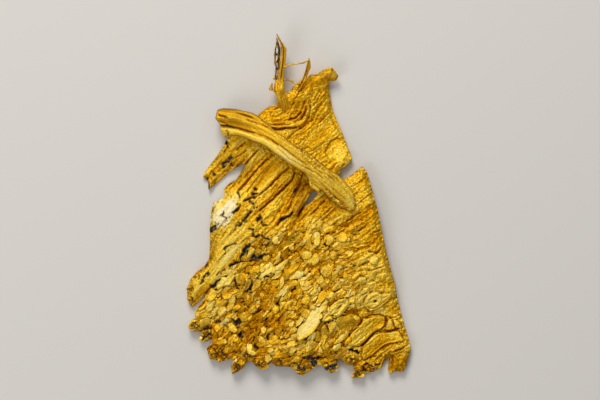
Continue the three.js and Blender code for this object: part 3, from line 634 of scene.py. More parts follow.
# Dark pits: u, v, radius in squares.
PITS = [
    (254, 192.5, 2.2), (248.5, 199.2, 2.4), (251.3, 202.3, 1.8), (256.6, 207.7, 2), (258, 218, 2.6),
    (260.6, 224.6, 1.5), (252, 229, 1.6), (265.5, 229.6, 1.4), (254.8, 235.8, 1.8), (261, 237, 2.2),
    (266.4, 239, 1.8), (267.5, 243.8, 2), (245.5, 247, 2.6), (243, 251, 3), (254, 256, 2.4),
    (260, 256.5, 2.6), (264.5, 250, 1.6), (269.5, 253, 1.8), (212.9, 228.2, 3.0), (213, 210, 1),
    (223, 214, 1.4), (214, 223.8, 1.2), (247.2, 275.6, 1.5), (250.5, 285.5, 1.8), (245, 291.5, 1.8),
    (249.7, 290.5, 1.6), (257, 276.8, 2), (261, 278.5, 1.7), (237, 284.5, 1.7), (241, 288.5, 1.8),
    (268, 277, 1.6), (293, 288, 1.8), (235.5, 300, 2.1), (241.5, 302, 1.8), (277.5, 303, 1.5),
    (264, 304.5, 1.3), (266, 319, 1.9), (266, 323.5, 1.7), (238, 312, 1.9), (236, 322.5, 2.4),
    (241.5, 335, 2.6), (241, 338, 2), (247, 332, 2.2), (253, 336.5, 1.5), (254.8, 343, 1.6),
    (256, 347.5, 1.9), (215, 320.5, 1.7), (223.5, 322.5, 2.0), (206.5, 329, 3.0), (203, 337.8, 1.3),
    (207.5, 336.5, 1), (239, 352.5, 2.6), (224, 349, 1.9), (221.8, 352, 1.3), (267, 337.5, 1.6),
    (271.7, 357.5, 1.5), (288, 353.5, 1.6), (296.7, 352, 1.4), (295, 362.5, 2), (301.5, 354.5, 1.2),
    (374.7, 301.5, 1.5), (191.5, 277.5, 1.3), (196.5, 276.3, 1.4), (217.5, 274.2, 1.3),
    (225.5, 274, 1.3), (282.8, 350.5, 1.2), (336, 354.5, 1.3), (331, 356, 1.2), (344, 355, 1.4),
    (358.5, 283, 1.3), (332.5, 317.5, 1.2), (343, 315, 1.7), (321.5, 338.8, 1.4), (358, 361.5, 1.6),
    (362, 369, 2.2), (365, 366, 1.6), (306, 357, 1.8), (313, 355.6, 1.6), (231, 163, 1.4),
    (224, 152, 1.3), (229, 143, 1.3),
]


PIT_JAGGED = 1.5  # squares
PIT_DEEP = 1.0  # mm


def round_pit(at_u, at_v, wide):
    """The raster round a pit, and how far each place there lies from its middle in squares. Pits
    are jagged, and drawn out along the growth."""
    area = around([(at_u, at_v)], 3 * wide + 3)
    du = RASTER_U[area] + PIT_JAGGED * stray_u[area] - at_u
    dv = at_v - RASTER_V[area] - PIT_JAGGED * stray_v[area]
    cos, sin = np.cos(growth[area]), np.sin(growth[area])
    return area, np.hypot(0.8 * (du * cos + dv * sin), 1.15 * (dv * cos - du * sin))


for at_u, at_v, wide in PITS:
    area, apart = round_pit(at_u, at_v, wide)
    relief[area] -= PIT_DEEP * bell(apart, 0.75 * wide)

# The sheet falls a little towards its rim, and none of its face lies right on the table.
RIM_FALL, RIM_WIDE = 0.9, 4.0  # mm, and squares
FACE_LOWEST = 0.9  # mm above the table
inside_rim = squares_inside(OUTLINE, np.s_[:, :])
face = level(RASTER_U, RASTER_V) - RIM_FALL * bell(inside_rim, RIM_WIDE) + relief
face = np.maximum(face, FACE_LOWEST)

# Old iron crust stays black in the pits and along some cracks: this is where, from 0 to 1.
BLACK_LINES = [
    # width in squares, then lines of points
    (1.2, [(240, 205), (236, 208), (233, 212.5)]),
    (2.0, [(250.4, 211.4), (247.5, 215), (244.5, 218.5)]),
    (0.8, [(244.5, 218.5), (240, 223.3), (234, 229)]),
    (1.0, [(250.3, 197.5), (247, 199.3), (246, 201)]),
    (1.1, [(254.5, 192.8), (253, 195.6), (250, 197.5)]),
    (1.0, [(237, 191.5), (239.4, 196.8)]),
    (1.1, [(252, 203), (254.2, 205.4), (253.2, 209)]),
    (1.5, [(257, 217.4), (260, 215.6), (261, 219), (256.8, 221)]),
    (1.2, [(262.8, 223.6), (267, 224.4)]),
    (1.3, [(249.8, 228.8), (252.6, 230.4), (253.4, 235), (257.6, 234.8), (261.8, 236), (262.6, 238.6),
        (267, 238.2)]),
    (1.2, [(267.5, 242.4), (267.8, 245)]),
    (1.0, [(261, 243.4), (262.6, 245)]),
    (2.2, [(249.4, 244.6), (245.8, 247.8), (243.4, 252), (240, 256.6)]),
    (1.3, [(247, 251), (246.8, 254)]),
    (1.9, [(251.4, 257), (253.3, 255), (255, 258), (259, 255.6), (260.8, 258.8), (262, 256)]),
    (1.1, [(267, 256), (263.2, 253.8)]),
    (1.5, [(253, 259.4), (250, 260.2), (245, 261.8), (238.3, 262.4), (233.8, 262), (229.5, 266)]),
    (1.0, [(235, 242.4), (230.8, 244), (225.2, 248), (224, 253)]),
    (1.6, [(209, 228.6), (213.3, 225.6), (216, 228.4), (213, 231.4), (210, 229.5)]),
    (0.9, [(212.4, 209), (213, 212.4)]),
    (0.8, [(222.5, 210.8), (223.3, 215), (225.8, 218.3)]),
    (1.2, [(219, 279), (214, 284), (211.5, 286)]),
    (1.1, [(235.4, 279.4), (234, 285), (238.6, 287.6)]),
    (1.0, [(248.2, 266.2), (248.4, 270.4)]),
    (1.5, [(250, 274.6), (250.8, 280), (250, 285), (249, 290), (243.2, 290.4)]),
    (1.2, [(254.8, 275.6), (257.6, 277.4), (258.4, 281)]),
    (1.0, [(244.8, 282.8), (246, 286.2)], [(254.2, 283.6), (252.4, 288.6)]),
    (1.2, [(266.4, 274.6), (268.6, 277.2)], [(293, 284.6), (295.2, 286.8), (291.6, 290.4)], [(233.8, 296.4),
        (236.8, 300), (235, 303.6)]),
    (0.9, [(240.4, 297), (241.6, 300)]),
    (1.2, [(276.6, 297.6), (276.8, 301), (277.8, 304.6)]),
    (1.4, [(214.8, 318), (215.5, 322), (222, 321), (224, 325)]),
    (1.8, [(233, 320.6), (237, 322), (239.5, 325.6)]),
    (1.4, [(240, 334), (243, 337.5), (247.4, 333)]),
    (1.6, [(265.5, 317), (266, 325)]),
    (1.2, [(272.5, 334.5), (277.5, 331)]),
    (1.4, [(254.5, 341), (256.5, 349)]),
    (1.1, [(251, 314), (256, 312), (260.5, 309.5)]),
    (2.2, [(203.4, 327.6), (207, 329.4), (209, 333.6)]),
    (1.4, [(236.6, 351), (241.4, 353.6)]),
    (1.3, [(287, 352.4), (289.6, 355.4)], [(295.8, 351), (297.4, 354)]),
    (1.0, [(302, 357), (309, 354.6), (316, 353)]),
    (1.2, [(304, 360.4), (312, 358.4), (321, 356.6)]),
    (0.9, [(230, 158), (226, 162), (222, 166)]),
    (1.2, [(208, 176.5), (205.5, 180), (208, 186)]),
    (1.0, [(212, 171.5), (215, 175.5)]),
    (1.1, [(230.8, 155), (227, 160), (221.5, 165)], [(226.6, 141.5), (227, 147), (224, 151)]),
    (0.8, [(207, 272), (203.5, 278), (199, 284)]),
    (1.3, [(292, 212), (288, 215.5), (281, 219.5)]),
    (0.9, [(297, 190), (294, 193)]),
    (1.3, [(350, 349.5), (354, 349.5), (357.5, 352)]),
    (0.9, [(326.5, 325), (328, 331)]),
    (0.8, [(321, 325), (326, 322), (331, 320), (335, 320)], [(335, 321), (337, 326), (339.5, 328)],
        [(333, 317), (336, 318)]),
]
black = np.zeros(RASTER_U.shape)
LARGE_PIT = 1.55  # squares; smaller pits are stained only a little
for at_u, at_v, wide in PITS:
    area, apart = round_pit(at_u, at_v, wide)
    stain = np.exp(-((apart / (0.7 * wide)) ** 3)) * (0.35 + 0.65 * (wide > LARGE_PIT))
    black[area] = np.maximum(black[area], stain)
for wide, *paths in BLACK_LINES:
    for path in paths:
        area = around(path, 3 * wide + 2)
        apart, *_ = nearest_on(path, *jagged(area, BLACK_JAGGED))
        ragged = 0.75 * wide * np.clip(1 + 0.5 * stray_u[area] * stray_v[area], 0.35, 2)
        black[area] = np.maximum(black[area], 1.15 * bell(apart, ragged))
black = np.clip(black * (0.95 + 0.22 * fine_streaks), 0, 1)
BLACK_DEEP = 0.5  # mm that the black places lie below the gold
face -= BLACK_DEEP * black


def sunk_in(heights, reach, deep):
    """How deep each place lies below those within `reach` squares, from 0 to 1 at `deep` mm."""
    return np.clip((soften(heights, reach) - heights) / deep, 0, 1)


# How deep each place lies in a hollow of the face, from 0 to 1: the material paints it as shade.
hollow = 0.55 * sunk_in(face, 3.0, 0.8)
hollow = np.clip(hollow + 0.65 * sunk_in(face, 1.2, 0.4), 0, 1)

# How pale the gold is, from 0 (deep amber) to 1 (pale yellow), and where it is paler or deeper:
# partly the gold's own tone, partly painted highlight and painted shade, such as under the band.
TINTS_AND_PAINTED_LIGHT = [
    # centre, reach along and across, lean in degrees, how much paler
    (224, 212, 13, 7, 55, 0.55), (213, 240, 14, 5, 75, -0.12), (238, 214, 9, 4, 55, -0.2),
    (268, 165, 11, 8, 45, -0.22), (228, 262, 16, 8, 50, 0.3), (224, 281, 13, 7, 55, 0.35),
    (210, 303, 11, 7, 60, 0.3), (196, 325, 8, 5, 0, 0.25), (268, 271, 12, 6, 35, 0.35),
    (298, 275, 8, 5, 10, 0.3), (311, 318, 22, 7, 50, 0.5), (300, 285, 10, 5, 10, 0.2),
    (316, 292, 8, 5, 60, 0.25), (365, 340, 16, 9, 45, 0.15), (372, 261, 8, 6, 20, 0.3),
    (337, 152, 12, 7, 60, 0.3), (330, 122, 8, 6, 60, 0.25), (285, 348, 18, 8, 10, 0.15),
    (382, 312, 5, 3, 0, 0.35), (394, 334, 6, 3, -25, 0.35), (372, 274, 6, 4, 50, 0.3),
    (342, 309, 8, 3, 50, 0.35), (216, 158, 10, 3, 45, 0.3), (250, 280, 20, 10, 40, 0.08),
    (300, 185, 12, 9, 50, -0.5), (292, 150, 6, 4, 0, -0.1), (295, 105, 12, 8, 60, -0.3),
    (285, 118, 14, 5, 0, -0.2), (312, 84, 12, 5, 45, -0.3), (320, 205, 12, 7, 45, -0.25),
    (281, 239, 14, 8, 20, 0.16), (262, 318, 14, 12, 60, -0.35), (245, 335, 12, 9, 40, -0.4),
    (375, 243, 8, 7, 20, -0.35), (352, 311, 8, 3, -10, -0.6), (325, 240, 8, 8, 0, -0.2),
    (372, 228, 9, 8, 45, -0.2), (318, 278, 10, 6, 60, -0.15), (335, 300, 34, 20, 40, 0.14),
    (232, 285, 24, 16, 60, 0.12), (330, 318, 16, 10, 40, 0.12), (372, 290, 22, 16, 40, 0.12),
    (290, 243, 16, 8, 10, 0.12), (325, 135, 30, 24, 60, -0.14), (290, 182, 26, 14, 45, -0.08),
    (345, 214, 26, 12, -10, -0.15), (380, 342, 13, 6, 35, -0.25), (392, 362, 12, 8, 0, -0.35),
    (225, 353, 12, 5, 0, -0.3), (280, 362, 12, 4, 0, -0.35), (305, 366, 9, 6, 0, -0.3),
    (238, 362, 7, 9, 0, -0.15), (341, 308, 14, 6, 45, 0.16), (375, 301, 11, 8, 20, 0.18),
    (352, 288, 14, 8, 30, 0.14), (362, 282, 12, 6, 20, 0.12), (378, 318, 14, 6, 20, 0.14),
    (331, 226, 9, 6, 20, 0.2), (221, 280, 12, 9, 50, 0.2), (320, 300, 8, 6, 40, 0.12),
    (364, 304, 16, 9, 20, 0.12), (382, 309, 10, 5, 0, 0.2), (343, 159, 8, 6, 45, 0.22),
    (303, 212, 12, 7, 55, -0.15), (352, 300, 10, 6, 40, 0.12), (392, 298, 6, 8, 80, 0.12),
]
tone = 0.5 + 0.1 * wide_streaks + 0.07 * fine_streaks + 0.3 * crust * (big_tone - 0.5)
tone += 0.22 * (small_tone - 0.5) * (0.4 + 0.6 * crust) + 0.05 * grit
for *shape, paler in TINTS_AND_PAINTED_LIGHT:
    tone += paler * soft_spot(RASTER_U, RASTER_V, *shape)
PALEST = 0.8  # but for the places with a painted sheen
tone = np.clip(tone, 0, PALEST)
# Painted highlights: places paler still, where flat gold catches the lamps as a pale sheen.
PAINTED_SHEEN = [
    # centre, reach along and across, lean in degrees, how much paler
    (221, 210, 20, 14, 60, 0.36), (232, 196, 8, 5, 20, 0.1), (215, 226, 9, 4, 80, 0.1),
    (231, 252, 16, 6, 50, 0.1), (311, 321, 24, 8, 52, 0.12), (226, 281, 13, 8, 50, 0.06),
    (212, 305, 9, 6, 60, 0.06), (286, 348, 7, 3, 10, 0.08), (307, 364, 4, 3, 0, 0.1),
]
for *shape, paler in PAINTED_SHEEN:
    tone += paler * np.exp(-(oval(RASTER_U, RASTER_V, *shape) ** 2))

# Painted shade darkens the crust in between its flakes; some places are deep brown, partly the
# gold's own tone and partly painted shade, such as under the band.
BROWN_AND_SHADED_PLACES = [
    # centre, reach along and across, lean in degrees, how brown
    (262, 319, 13, 10, 60, 0.35), (242, 337, 10, 8, 40, 0.4), (225, 353, 12, 4, 0, 0.5),
    (303, 187, 13, 7, 55, 0.45), (280, 363, 12, 4, 0, 0.35), (272, 333, 6, 4, 30, 0.3),
    (252, 288, 8, 5, 80, 0.3), (362, 368, 7, 4, 0, 0.4), (345, 351, 8, 4, 0, 0.35),
    (206, 330, 6, 5, 0, 0.4), (236, 323, 5, 5, 0, 0.4), (352, 311, 6, 2.5, -10, 0.4),
    (322, 341, 6, 3, 0, 0.3), (294, 310, 5, 4, 40, 0.3), (258, 252, 10, 6, 40, 0.25),
    (393, 359, 20, 14, 0, 0.42), (375, 205, 10, 22, 20, 0.16), (230, 182, 8, 6, 50, 0.25),
    (286, 182, 26, 13, 45, 0.08), (238, 214, 9, 4, 55, 0.3), (268, 165, 12, 9, 45, -0.25),
    (345, 214, 26, 11, -10, 0.16), (329, 337, 5, 3, 30, 0.3), (300, 328, 8, 2, 60, 0.2),
    (230, 268, 12, 2.5, 15, 0.3), (312, 357, 18, 5, 0, 0.75), (213, 178, 10, 6, 45, 0.4),
    (213, 243, 16, 5, 75, 0.28), (232, 163, 12, 4, 45, 0.28), (226, 346, 14, 5, 0, 0.25),
    (240, 326, 8, 6, 0, 0.2), (252, 357, 12, 5, 0, 0.45), (244, 168, 8, 8, 45, 0.2),
    (300, 211, 14, 7, 55, 0.35), (257, 222, 10, 6, 45, 0.15), (376, 344, 14, 5, 30, 0.18),
]
hollow += 0.15 * crust * (1 - 0.6 * step_up(RASTER_U, 325, 350)) * (1 - smooth_places)
hollow += 0.1 * np.clip(-grit, 0, 2) * (1 - 0.6 * smooth_places)
for *shape, brown in BROWN_AND_SHADED_PLACES:
    hollow += brown * soft_spot(RASTER_U, RASTER_V, *shape) * (0.8 + 0.25 * fine_streaks)
hollow = np.clip(hollow, 0, 1)

# ---------------------------------------------------------------- gold
# Native gold is a soft satin metal: pale yellow on its crests, orange-brown in its hollows,
# where the light is caught between the walls, and black where old iron crust is left. The
# orange-brown of the hollows is painted shade, mixed into the colour by each piece's hollow value.


def gold_tones_group():
    """Node group: the colour, roughness and fine relief of the gold, from the piece's values."""
    group = bpy.data.node_groups.new("gold_tones", "ShaderNodeTree")
    sockets = group.interface
    for label in ("Tone", "Hollow", "Black", "Grain Size"):
        sockets.new_socket(label, in_out="INPUT", socket_type="NodeSocketFloat")
    sockets.new_socket("Color", in_out="OUTPUT", socket_type="NodeSocketColor")
    for label in ("Metallic", "Roughness", "Height"):
        sockets.new_socket(label, in_out="OUTPUT", socket_type="NodeSocketFloat")
    new, link = group.nodes.new, group.links.new
    given, out = new("NodeGroupInput").outputs, new("NodeGroupOutput").inputs

    def remap(value, low, high, at_low, at_high, smooth=False):
        """The value moved from low..high to at_low..at_high, and held at both ends."""
        node = new("ShaderNodeMapRange")
        if smooth:
            node.interpolation_type = "SMOOTHSTEP"
        node.inputs["From Min"].default_value = low
        node.inputs["From Max"].default_value = high
        node.inputs["To Min"].default_value = at_low
        node.inputs["To Max"].default_value = at_high
        link(value, node.inputs["Value"])
        return node.outputs["Result"]

    def work_out(operation, *terms):
        """The result of a maths node whose terms are numbers or sockets."""
        node = new("ShaderNodeMath")
        node.operation = operation
        for term, socket in zip(terms, node.inputs):
            if isinstance(term, float):
                socket.default_value = term
            else:
                link(term, socket)
        return node.outputs[0]

    def mixed(share, colour, other):
        """A socket's colour with a share of another colour in it."""
        node = new("ShaderNodeMix")
        node.data_type = "RGBA"
        node.inputs["B"].default_value = other
        link(share, node.inputs["Factor"])
        link(colour, node.inputs["A"])
        return node.outputs["Result"]

    grain = new("ShaderNodeTexNoise")
    grain.inputs["Detail"].default_value = 3.0
    grain.inputs["Roughness"].default_value = 0.65
    link(new("ShaderNodeTexCoord").outputs["Object"], grain.inputs["Vector"])
    link(given["Grain Size"], grain.inputs["Scale"])

    # The gold is speckled, but less so where it is palest.
    speckles = work_out("SUBTRACT", grain.outputs["Fac"], 0.5)
    strength = remap(given["Tone"], 0.72, 0.9, 0.9, 0.35)
    speckled = work_out("MULTIPLY_ADD", speckles, strength, given["Tone"])
    tones = new("ShaderNodeValToRGB")
    stops = tones.color_ramp.elements
    stops[0].position, stops[0].color = 0.0, (0.66, 0.27, 0.003, 1)
    stops[1].position, stops[1].color = 1.0, (1.0, 0.88, 0.55, 1)
    for position, colour in (
        (0.35, (0.84, 0.45, 0.008, 1)), (0.62, (0.97, 0.63, 0.045, 1)), (0.84, (1.0, 0.74, 0.105, 1)),
        (0.93, (1.0, 0.79, 0.22, 1)),
    ):
        stops.new(position).color = colour
    link(speckled, tones.inputs["Fac"])
    # Painted shade: the gold turns orange-brown where the hollow value is high.
    hollow_shaded = mixed(given["Hollow"], tones.outputs["Color"], (0.2, 0.065, 0.002, 1))
    blackened = mixed(given["Black"], hollow_shaded, (0.01, 0.008, 0.007, 1))
    link(blackened, out["Color"])

    # The palest gold is worn matte, so it looks bright from every side, and black crust is no metal.
    matte = remap(given["Tone"], 0.66, 0.94, 1.0, 0.35, smooth=True)
    bare = work_out("MULTIPLY_ADD", given["Black"], -1.0, matte)
    link(work_out("MAXIMUM", bare, 0.0), out["Metallic"])
    link(remap(grain.outputs["Fac"], 0.0, 1.0, 0.4, 0.64), out["Roughness"])
    link(grain.outputs["Fac"], out["Height"])
    return group


gold_tones = gold_tones_group()
gold = bpy.data.materials.new("native_gold")
gold.use_nodes = True
nodes, links = gold.node_tree.nodes, gold.node_tree.links
shader = nodes["Principled BSDF"]
finish = nodes.new("ShaderNodeGroup")
finish.node_tree = gold_tones
finish.inputs["Grain Size"].default_value = 1600.0
for label in ("Tone", "Hollow", "Black"):
    value = nodes.new("ShaderNodeAttribute")
    value.attribute_name = label.lower()
    links.new(value.outputs["Fac"], finish.inputs[label])
links.new(finish.outputs["Color"], shader.inputs["Base Color"])
links.new(finish.outputs["Metallic"], shader.inputs["Metallic"])
links.new(finish.outputs["Roughness"], shader.inputs["Roughness"])
bump = nodes.new("ShaderNodeBump")
bump.inputs["Strength"].default_value = 0.8
bump.inputs["Distance"].default_value = 0.0004
links.new(finish.outputs["Height"], bump.inputs["Height"])
links.new(bump.outputs["Normal"], shader.inputs["Normal"])

# ---------------------------------------------------------------- sheet: its mesh
# A leaf of gold is a grid trimmed to its outline and drawn up from its back to its front. The
# sheet is one growth, modelled as two such leaves that meet under the band.


def numbers(mesh, what, width):
    """A mesh's values as rows of numbers: co of its vertices, for one."""
    flat = np.empty(len(mesh.vertices) * width)
    mesh.vertices.foreach_get(what, flat)
    return flat.reshape(-1, width)


def put_points(mesh, points):
    """Moves a mesh's vertices."""
    mesh.vertices.foreach_set("co", np.asarray(points, float).ravel())
    mesh.update()


def grid_squares(points):
    """The squares u, v of points in metres."""
    return points[:, 0] / SQUARE + MIDDLE_U, MIDDLE_V - points[:, 1] / SQUARE


def value_at(source, u, v):
    """The value at u, v that a raster, a function of u, v or a plain number gives."""
    if callable(source):
        return source(u, v) + 0 * u
    if np.ndim(source) == 2:
        return look_up(source, u, v)
    return source + 0 * u


def keep_values(piece, tone, hollow, black):
    """Stores how pale, how hollow and how black the gold is at each vertex, for the material, which paints
    the hollow places as shade.
    """
    u, v = grid_squares(numbers(piece.data, "co", 3))
    for label, source in (("tone", tone), ("hollow", hollow), ("black", black)):
        store = piece.data.attributes.new(label, "FLOAT", "POINT")
        value = np.clip(value_at(source, u, v), 0, 1)
        store.data.foreach_set("value", value.astype(np.float32))


def hand_over(piece):
    """Puts the gold on a finished piece, which moves with the specimen and stands for its solid."""
    piece.data.materials.clear()
    piece.data.materials.append(gold)
    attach(piece, "root")
    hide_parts("leaf_gold")


def leaf_of_gold(name, outline, gaps, cell, front, back, back_keeps=0.12):
    """A leaf trimmed to an outline, minus the gaps in it, on cells of `cell` squares. Its front
    and back lie at heights in mm that are given as for value_at."""
    edge = np.array(outline)
    left, top = edge.min(0) - 1
    right, bottom = edge.max(0) + 1
    bpy.ops.object.select_all(action="DESELECT")
    bpy.ops.mesh.primitive_grid_add(
        x_subdivisions=round((right - left) / cell), y_subdivisions=round((bottom - top) / cell), size=1
    )
    leaf = bpy.context.object
    leaf.name = name
    spots = numbers(leaf.data, "co", 3)
    u = left + (spots[:, 0] + 0.5) * (right - left)
    v = top + (0.5 - spots[:, 1]) * (bottom - top)

    corners = np.empty(len(leaf.data.polygons) * 4, int)
    leaf.data.polygons.foreach_get("vertices", corners)
    middle_u, middle_v = u[corners].reshape(-1, 4).mean(1), v[corners].reshape(-1, 4).mean(1)
    outside = ~is_inside(outline, middle_u, middle_v)
    for gap in gaps:
        outside |= is_inside(gap, middle_u, middle_v)
    bpy.ops.object.mode_set(mode="EDIT")
    bpy.ops.mesh.select_mode(type="FACE")
    bpy.ops.mesh.select_all(action="DESELECT")
    bpy.ops.object.mode_set(mode="OBJECT")
    leaf.data.polygons.foreach_set("select", outside)
    put_points(leaf.data, np.stack([u, v, 0 * u], axis=1))
    bpy.ops.object.mode_set(mode="EDIT")
    bpy.ops.mesh.delete(type="FACE")
    bpy.ops.mesh.select_mode(type="VERT")
    bpy.ops.mesh.select_all(action="DESELECT")
    bpy.ops.mesh.select_non_manifold(extend=False, use_multi_face=False)
    bpy.ops.object.mode_set(mode="OBJECT")

    u, v, _ = numbers(leaf.data, "co", 3).T
    on_rim = numbers(leaf.data, "select", 1)[:, 0].astype(bool)
    far, _, _, near_u, near_v = nearest_on(outline, u, v, closed=True)
    for gap in gaps:
        gap_far, _, _, gap_u, gap_v = nearest_on(gap, u, v, closed=True)
        near_u, near_v = np.where(gap_far < far, gap_u, near_u), np.where(gap_far < far, gap_v, near_v)
        far = np.minimum(far, gap_far)
    u, v = np.where(on_rim, near_u, u), np.where(on_rim, near_v, v)
    put_points(leaf.data, place(u, v, value_at(back, u, v)))

    bpy.ops.object.mode_set(mode="EDIT")
    bpy.ops.mesh.select_all(action="SELECT")
    bpy.ops.mesh.extrude_region_move()
    bpy.ops.object.mode_set(mode="OBJECT")
    on_front = numbers(leaf.data, "select", 1)[:, 0].astype(bool)
    spots = numbers(leaf.data, "co", 3)
    u, v = grid_squares(spots)
    spots[on_front] = place(u, v, value_at(front, u, v))[on_front]
    put_points(leaf.data, spots)
    bpy.ops.object.mode_set(mode="EDIT")
    bpy.ops.mesh.select_all(action="SELECT")
    bpy.ops.mesh.normals_make_consistent(inside=False)
    bpy.ops.mesh.select_all(action="DESELECT")
    bpy.ops.object.mode_set(mode="OBJECT")
    # The back is plain, so it keeps few faces.
    leaf.data.vertices.foreach_set("select", ~on_front)
    bpy.ops.object.mode_set(mode="EDIT")
    bpy.ops.mesh.decimate(ratio=back_keeps)
    bpy.ops.mesh.select_all(action="SELECT")
    bpy.ops.mesh.quads_convert_to_tris()
    bpy.ops.object.mode_set(mode="OBJECT")
    bpy.ops.object.shade_smooth()
    return leaf


# Above and below the band the sheet is a mesh of its own: the seam lies under the band, and in a
# crack to the right of it.
SHEET_SEAM = [(180, 96), (222, 122), (252, 130), (280, 148), (310, 170), (340, 196), (354, 206),
              (358, 203), (365, 197), (371, 193), (416, 164)]
SHEET_CELL = 0.64
for name, far_side in (
    ("leaf_peak", [(416, 390), (180, 390)]), ("leaf_sheet", [(416, 20), (180, 20)]),
):
    sheet = leaf_of_gold(
        name, OUTLINE, [SLIT, SHEET_SEAM + far_side], SHEET_CELL,
        face, lambda u, v: np.maximum(0, level(u, v) - SHEET_THICK), back_keeps=0.06,
    )
    keep_values(sheet, tone, hollow, black)
    hand_over(sheet)

# ---------------------------------------------------------------- band
# A folded strand of leaf lies across the sheet: a broad striated strip, a round, brighter roll
# along its lower side, and a torn flap and fringe below them. It grew together with the sheet
# along its foot.

BAND = [
    # upper edge, from the head to the tail
    (216.7, 110.4), (218, 108.8), (223, 107.8), (234.5, 108.6), (241, 110), (251.5, 112.4), (256, 114.8),
    (262, 119), (268, 124.5), (275, 130.5), (283, 136.1), (288.5, 141), (298, 147.5), (306, 151.3),
    (317, 160), (322, 164.1), (330.6, 170.6), (337, 173.8), (343.4, 179.1), (348.8, 186.1),
    (353.1, 193.1), (354.7, 201), (354.6, 208.5), (353.6, 210.2),
    # lower edge, back to the head
    (348.8, 211.5), (340, 207), (333, 202.5), (327, 197), (323.6, 192.6), (321, 189.5), (318.6, 192),
    (315, 191.2), (312.6, 189.2), (310.4, 189.8), (308.4, 185.4), (307.6, 181), (307.2, 177), (304, 173),
    (298, 169.5), (289.9, 164.1), (280, 156.6), (273.2, 152.6), (268.6, 148.6), (261.2, 144.1),
    (251.5, 140.6), (245.8, 137.8), (237.2, 134.9), (230, 135.6), (226, 135.6), (224.1, 136.7),
    (221.9, 134.4), (219.9, 129.9), (220.1, 125.3), (217.3, 121.3), (215, 118),
]
BROAD_STRIP = [
    # u, v, height of the crest in mm, half width in squares
    (214, 117, 7.0, 6), (234, 118.5, 8.1, 7), (253, 124.5, 8.9, 8), (273, 137, 9.6, 8),
    (291, 149.5, 9.8, 8), (308, 162.5, 9.4, 9), (323.5, 175.3, 8.8, 10), (335.4, 187, 8.0, 12),
    (346, 198, 7.4, 11), (353.5, 210, 6.5, 7),
]
ROLL = [
    (221, 129.5, 6.9, 3.2), (230, 131, 7.6, 4.0), (238, 132.6, 8.2, 4.4), (250, 136.6, 9.0, 5.0),
    (262, 140.8, 9.6, 5.4), (270, 145.0, 10.0, 5.6), (280, 151.8, 10.3, 5.8), (290, 159.2, 10.3, 5.6),
    (300, 165.8, 9.9, 5.2), (310, 172, 9.1, 4.8), (318, 178, 8.1, 4.4), (326, 188, 6.4, 4),
]
BAND_CRACKS = [
    # width in squares, depth in mm, points
    (1.0, 0.49, [(226.4, 124.6), (231.5, 126.4), (237.2, 128.4), (243.5, 129.5), (248.6, 131.5),
        (254.9, 132.6), (260, 134.4), (265.8, 137.2), (271.5, 140.1), (277.2, 143.5), (283, 147.5),
        (289.9, 153.4), (295.2, 157.2), (300.6, 160.9), (307, 165)]),
    (1.0, 0.42, [(294, 145.4), (298.4, 149.7), (303.2, 152.9), (308.6, 156.6), (312.9, 160.4)]),
    (1.0, 0.42, [(307, 161.5), (311.3, 165.2), (316.6, 169.5), (322, 172.7), (330, 177), (337, 181.8)]),
    (1.0, 0.49, [(277, 147.5), (283, 152.6), (289.9, 159.3), (295.2, 162.5), (301.6, 165.7),
        (307, 167.9), (312.4, 171.1), (317.7, 174.3), (323, 179)]),
    (0.8, 0.21, [(253.8, 127.5), (260.6, 129.8), (268.6, 133.2), (278, 140)]),
    (1.0, 0.49, [(247, 119.2), (253, 122.1), (262, 124.6), (269, 127.5), (275, 130.3)]),
    (1.4, 1.05, [(218.4, 114.4), (222, 115.6), (225.2, 116.4), (227, 118.4)]),
    (0.9, 0.24, [(224, 111), (235, 112.4), (247, 115.4), (256, 119.5)]),
    (0.8, 0.21, [(228, 121), (238, 122.6), (249, 126), (260, 130)]),
    (0.8, 0.21, [(280, 141), (290, 148), (300, 155.5), (310, 163)]),
    (0.9, 0.24, [(318, 165), (327, 172), (336, 178.5), (343, 186)]),
    (1.0, 0.28, [(322, 180), (332, 188), (342, 196), (350, 203)]),
    (0.8, 0.24, [(326, 190), (335, 197), (344, 203)]),
    (1.2, 0.63, [(219, 122), (224, 122.5), (228, 125)]),
    (1.3, 0.7, [(226, 129), (228, 132), (228.2, 136)]),
]


def follow(rows, u, v):
    """How far along and across a strand u, v lies in squares, and the height in mm of its crest
    and its half width there. A row of a strand is u, v, crest, half width."""
    path = [row[:2] for row in rows]
    apart, side, along, *_ = nearest_on(path, u, v)
    lengths = np.hypot(*np.diff(np.array(path, float), axis=0).T)
    knots = np.concatenate([[0], np.cumsum(lengths)])
    crest = np.interp(along, knots, [row[2] for row in rows])
    half = np.interp(along, knots, [row[3] for row in rows])
    return along, apart * side, crest, half


FIBRE_KNOTS = 64  # each way, after which the noise repeats


def fibres(along, across, long, wide):
    """Noise of about unit size whose grains are `long` and `wide` squares."""
    knots = dice.standard_normal((FIBRE_KNOTS, FIBRE_KNOTS))
    x = (along / long + 7.3) % (FIBRE_KNOTS - 2)
    y = (across / wide + 31.6) % (FIBRE_KNOTS - 2)
    c, r = x.astype(int), y.astype(int)
    return 1.5 * between(knots, r, c, step_up(x - c, 0, 1), step_up(y - r, 0, 1))


along, across, crest, half = follow(BROAD_STRIP, RASTER_U, RASTER_V)
strip_lines = 0.6 * fibres(along, across, 34, 2.1) + 0.5 * fibres(along, across, 20, 1.0)
strip = crest - np.where(across > 0, 1.0, 0.7) * (across / half) ** 2 + 0.16 * strip_lines
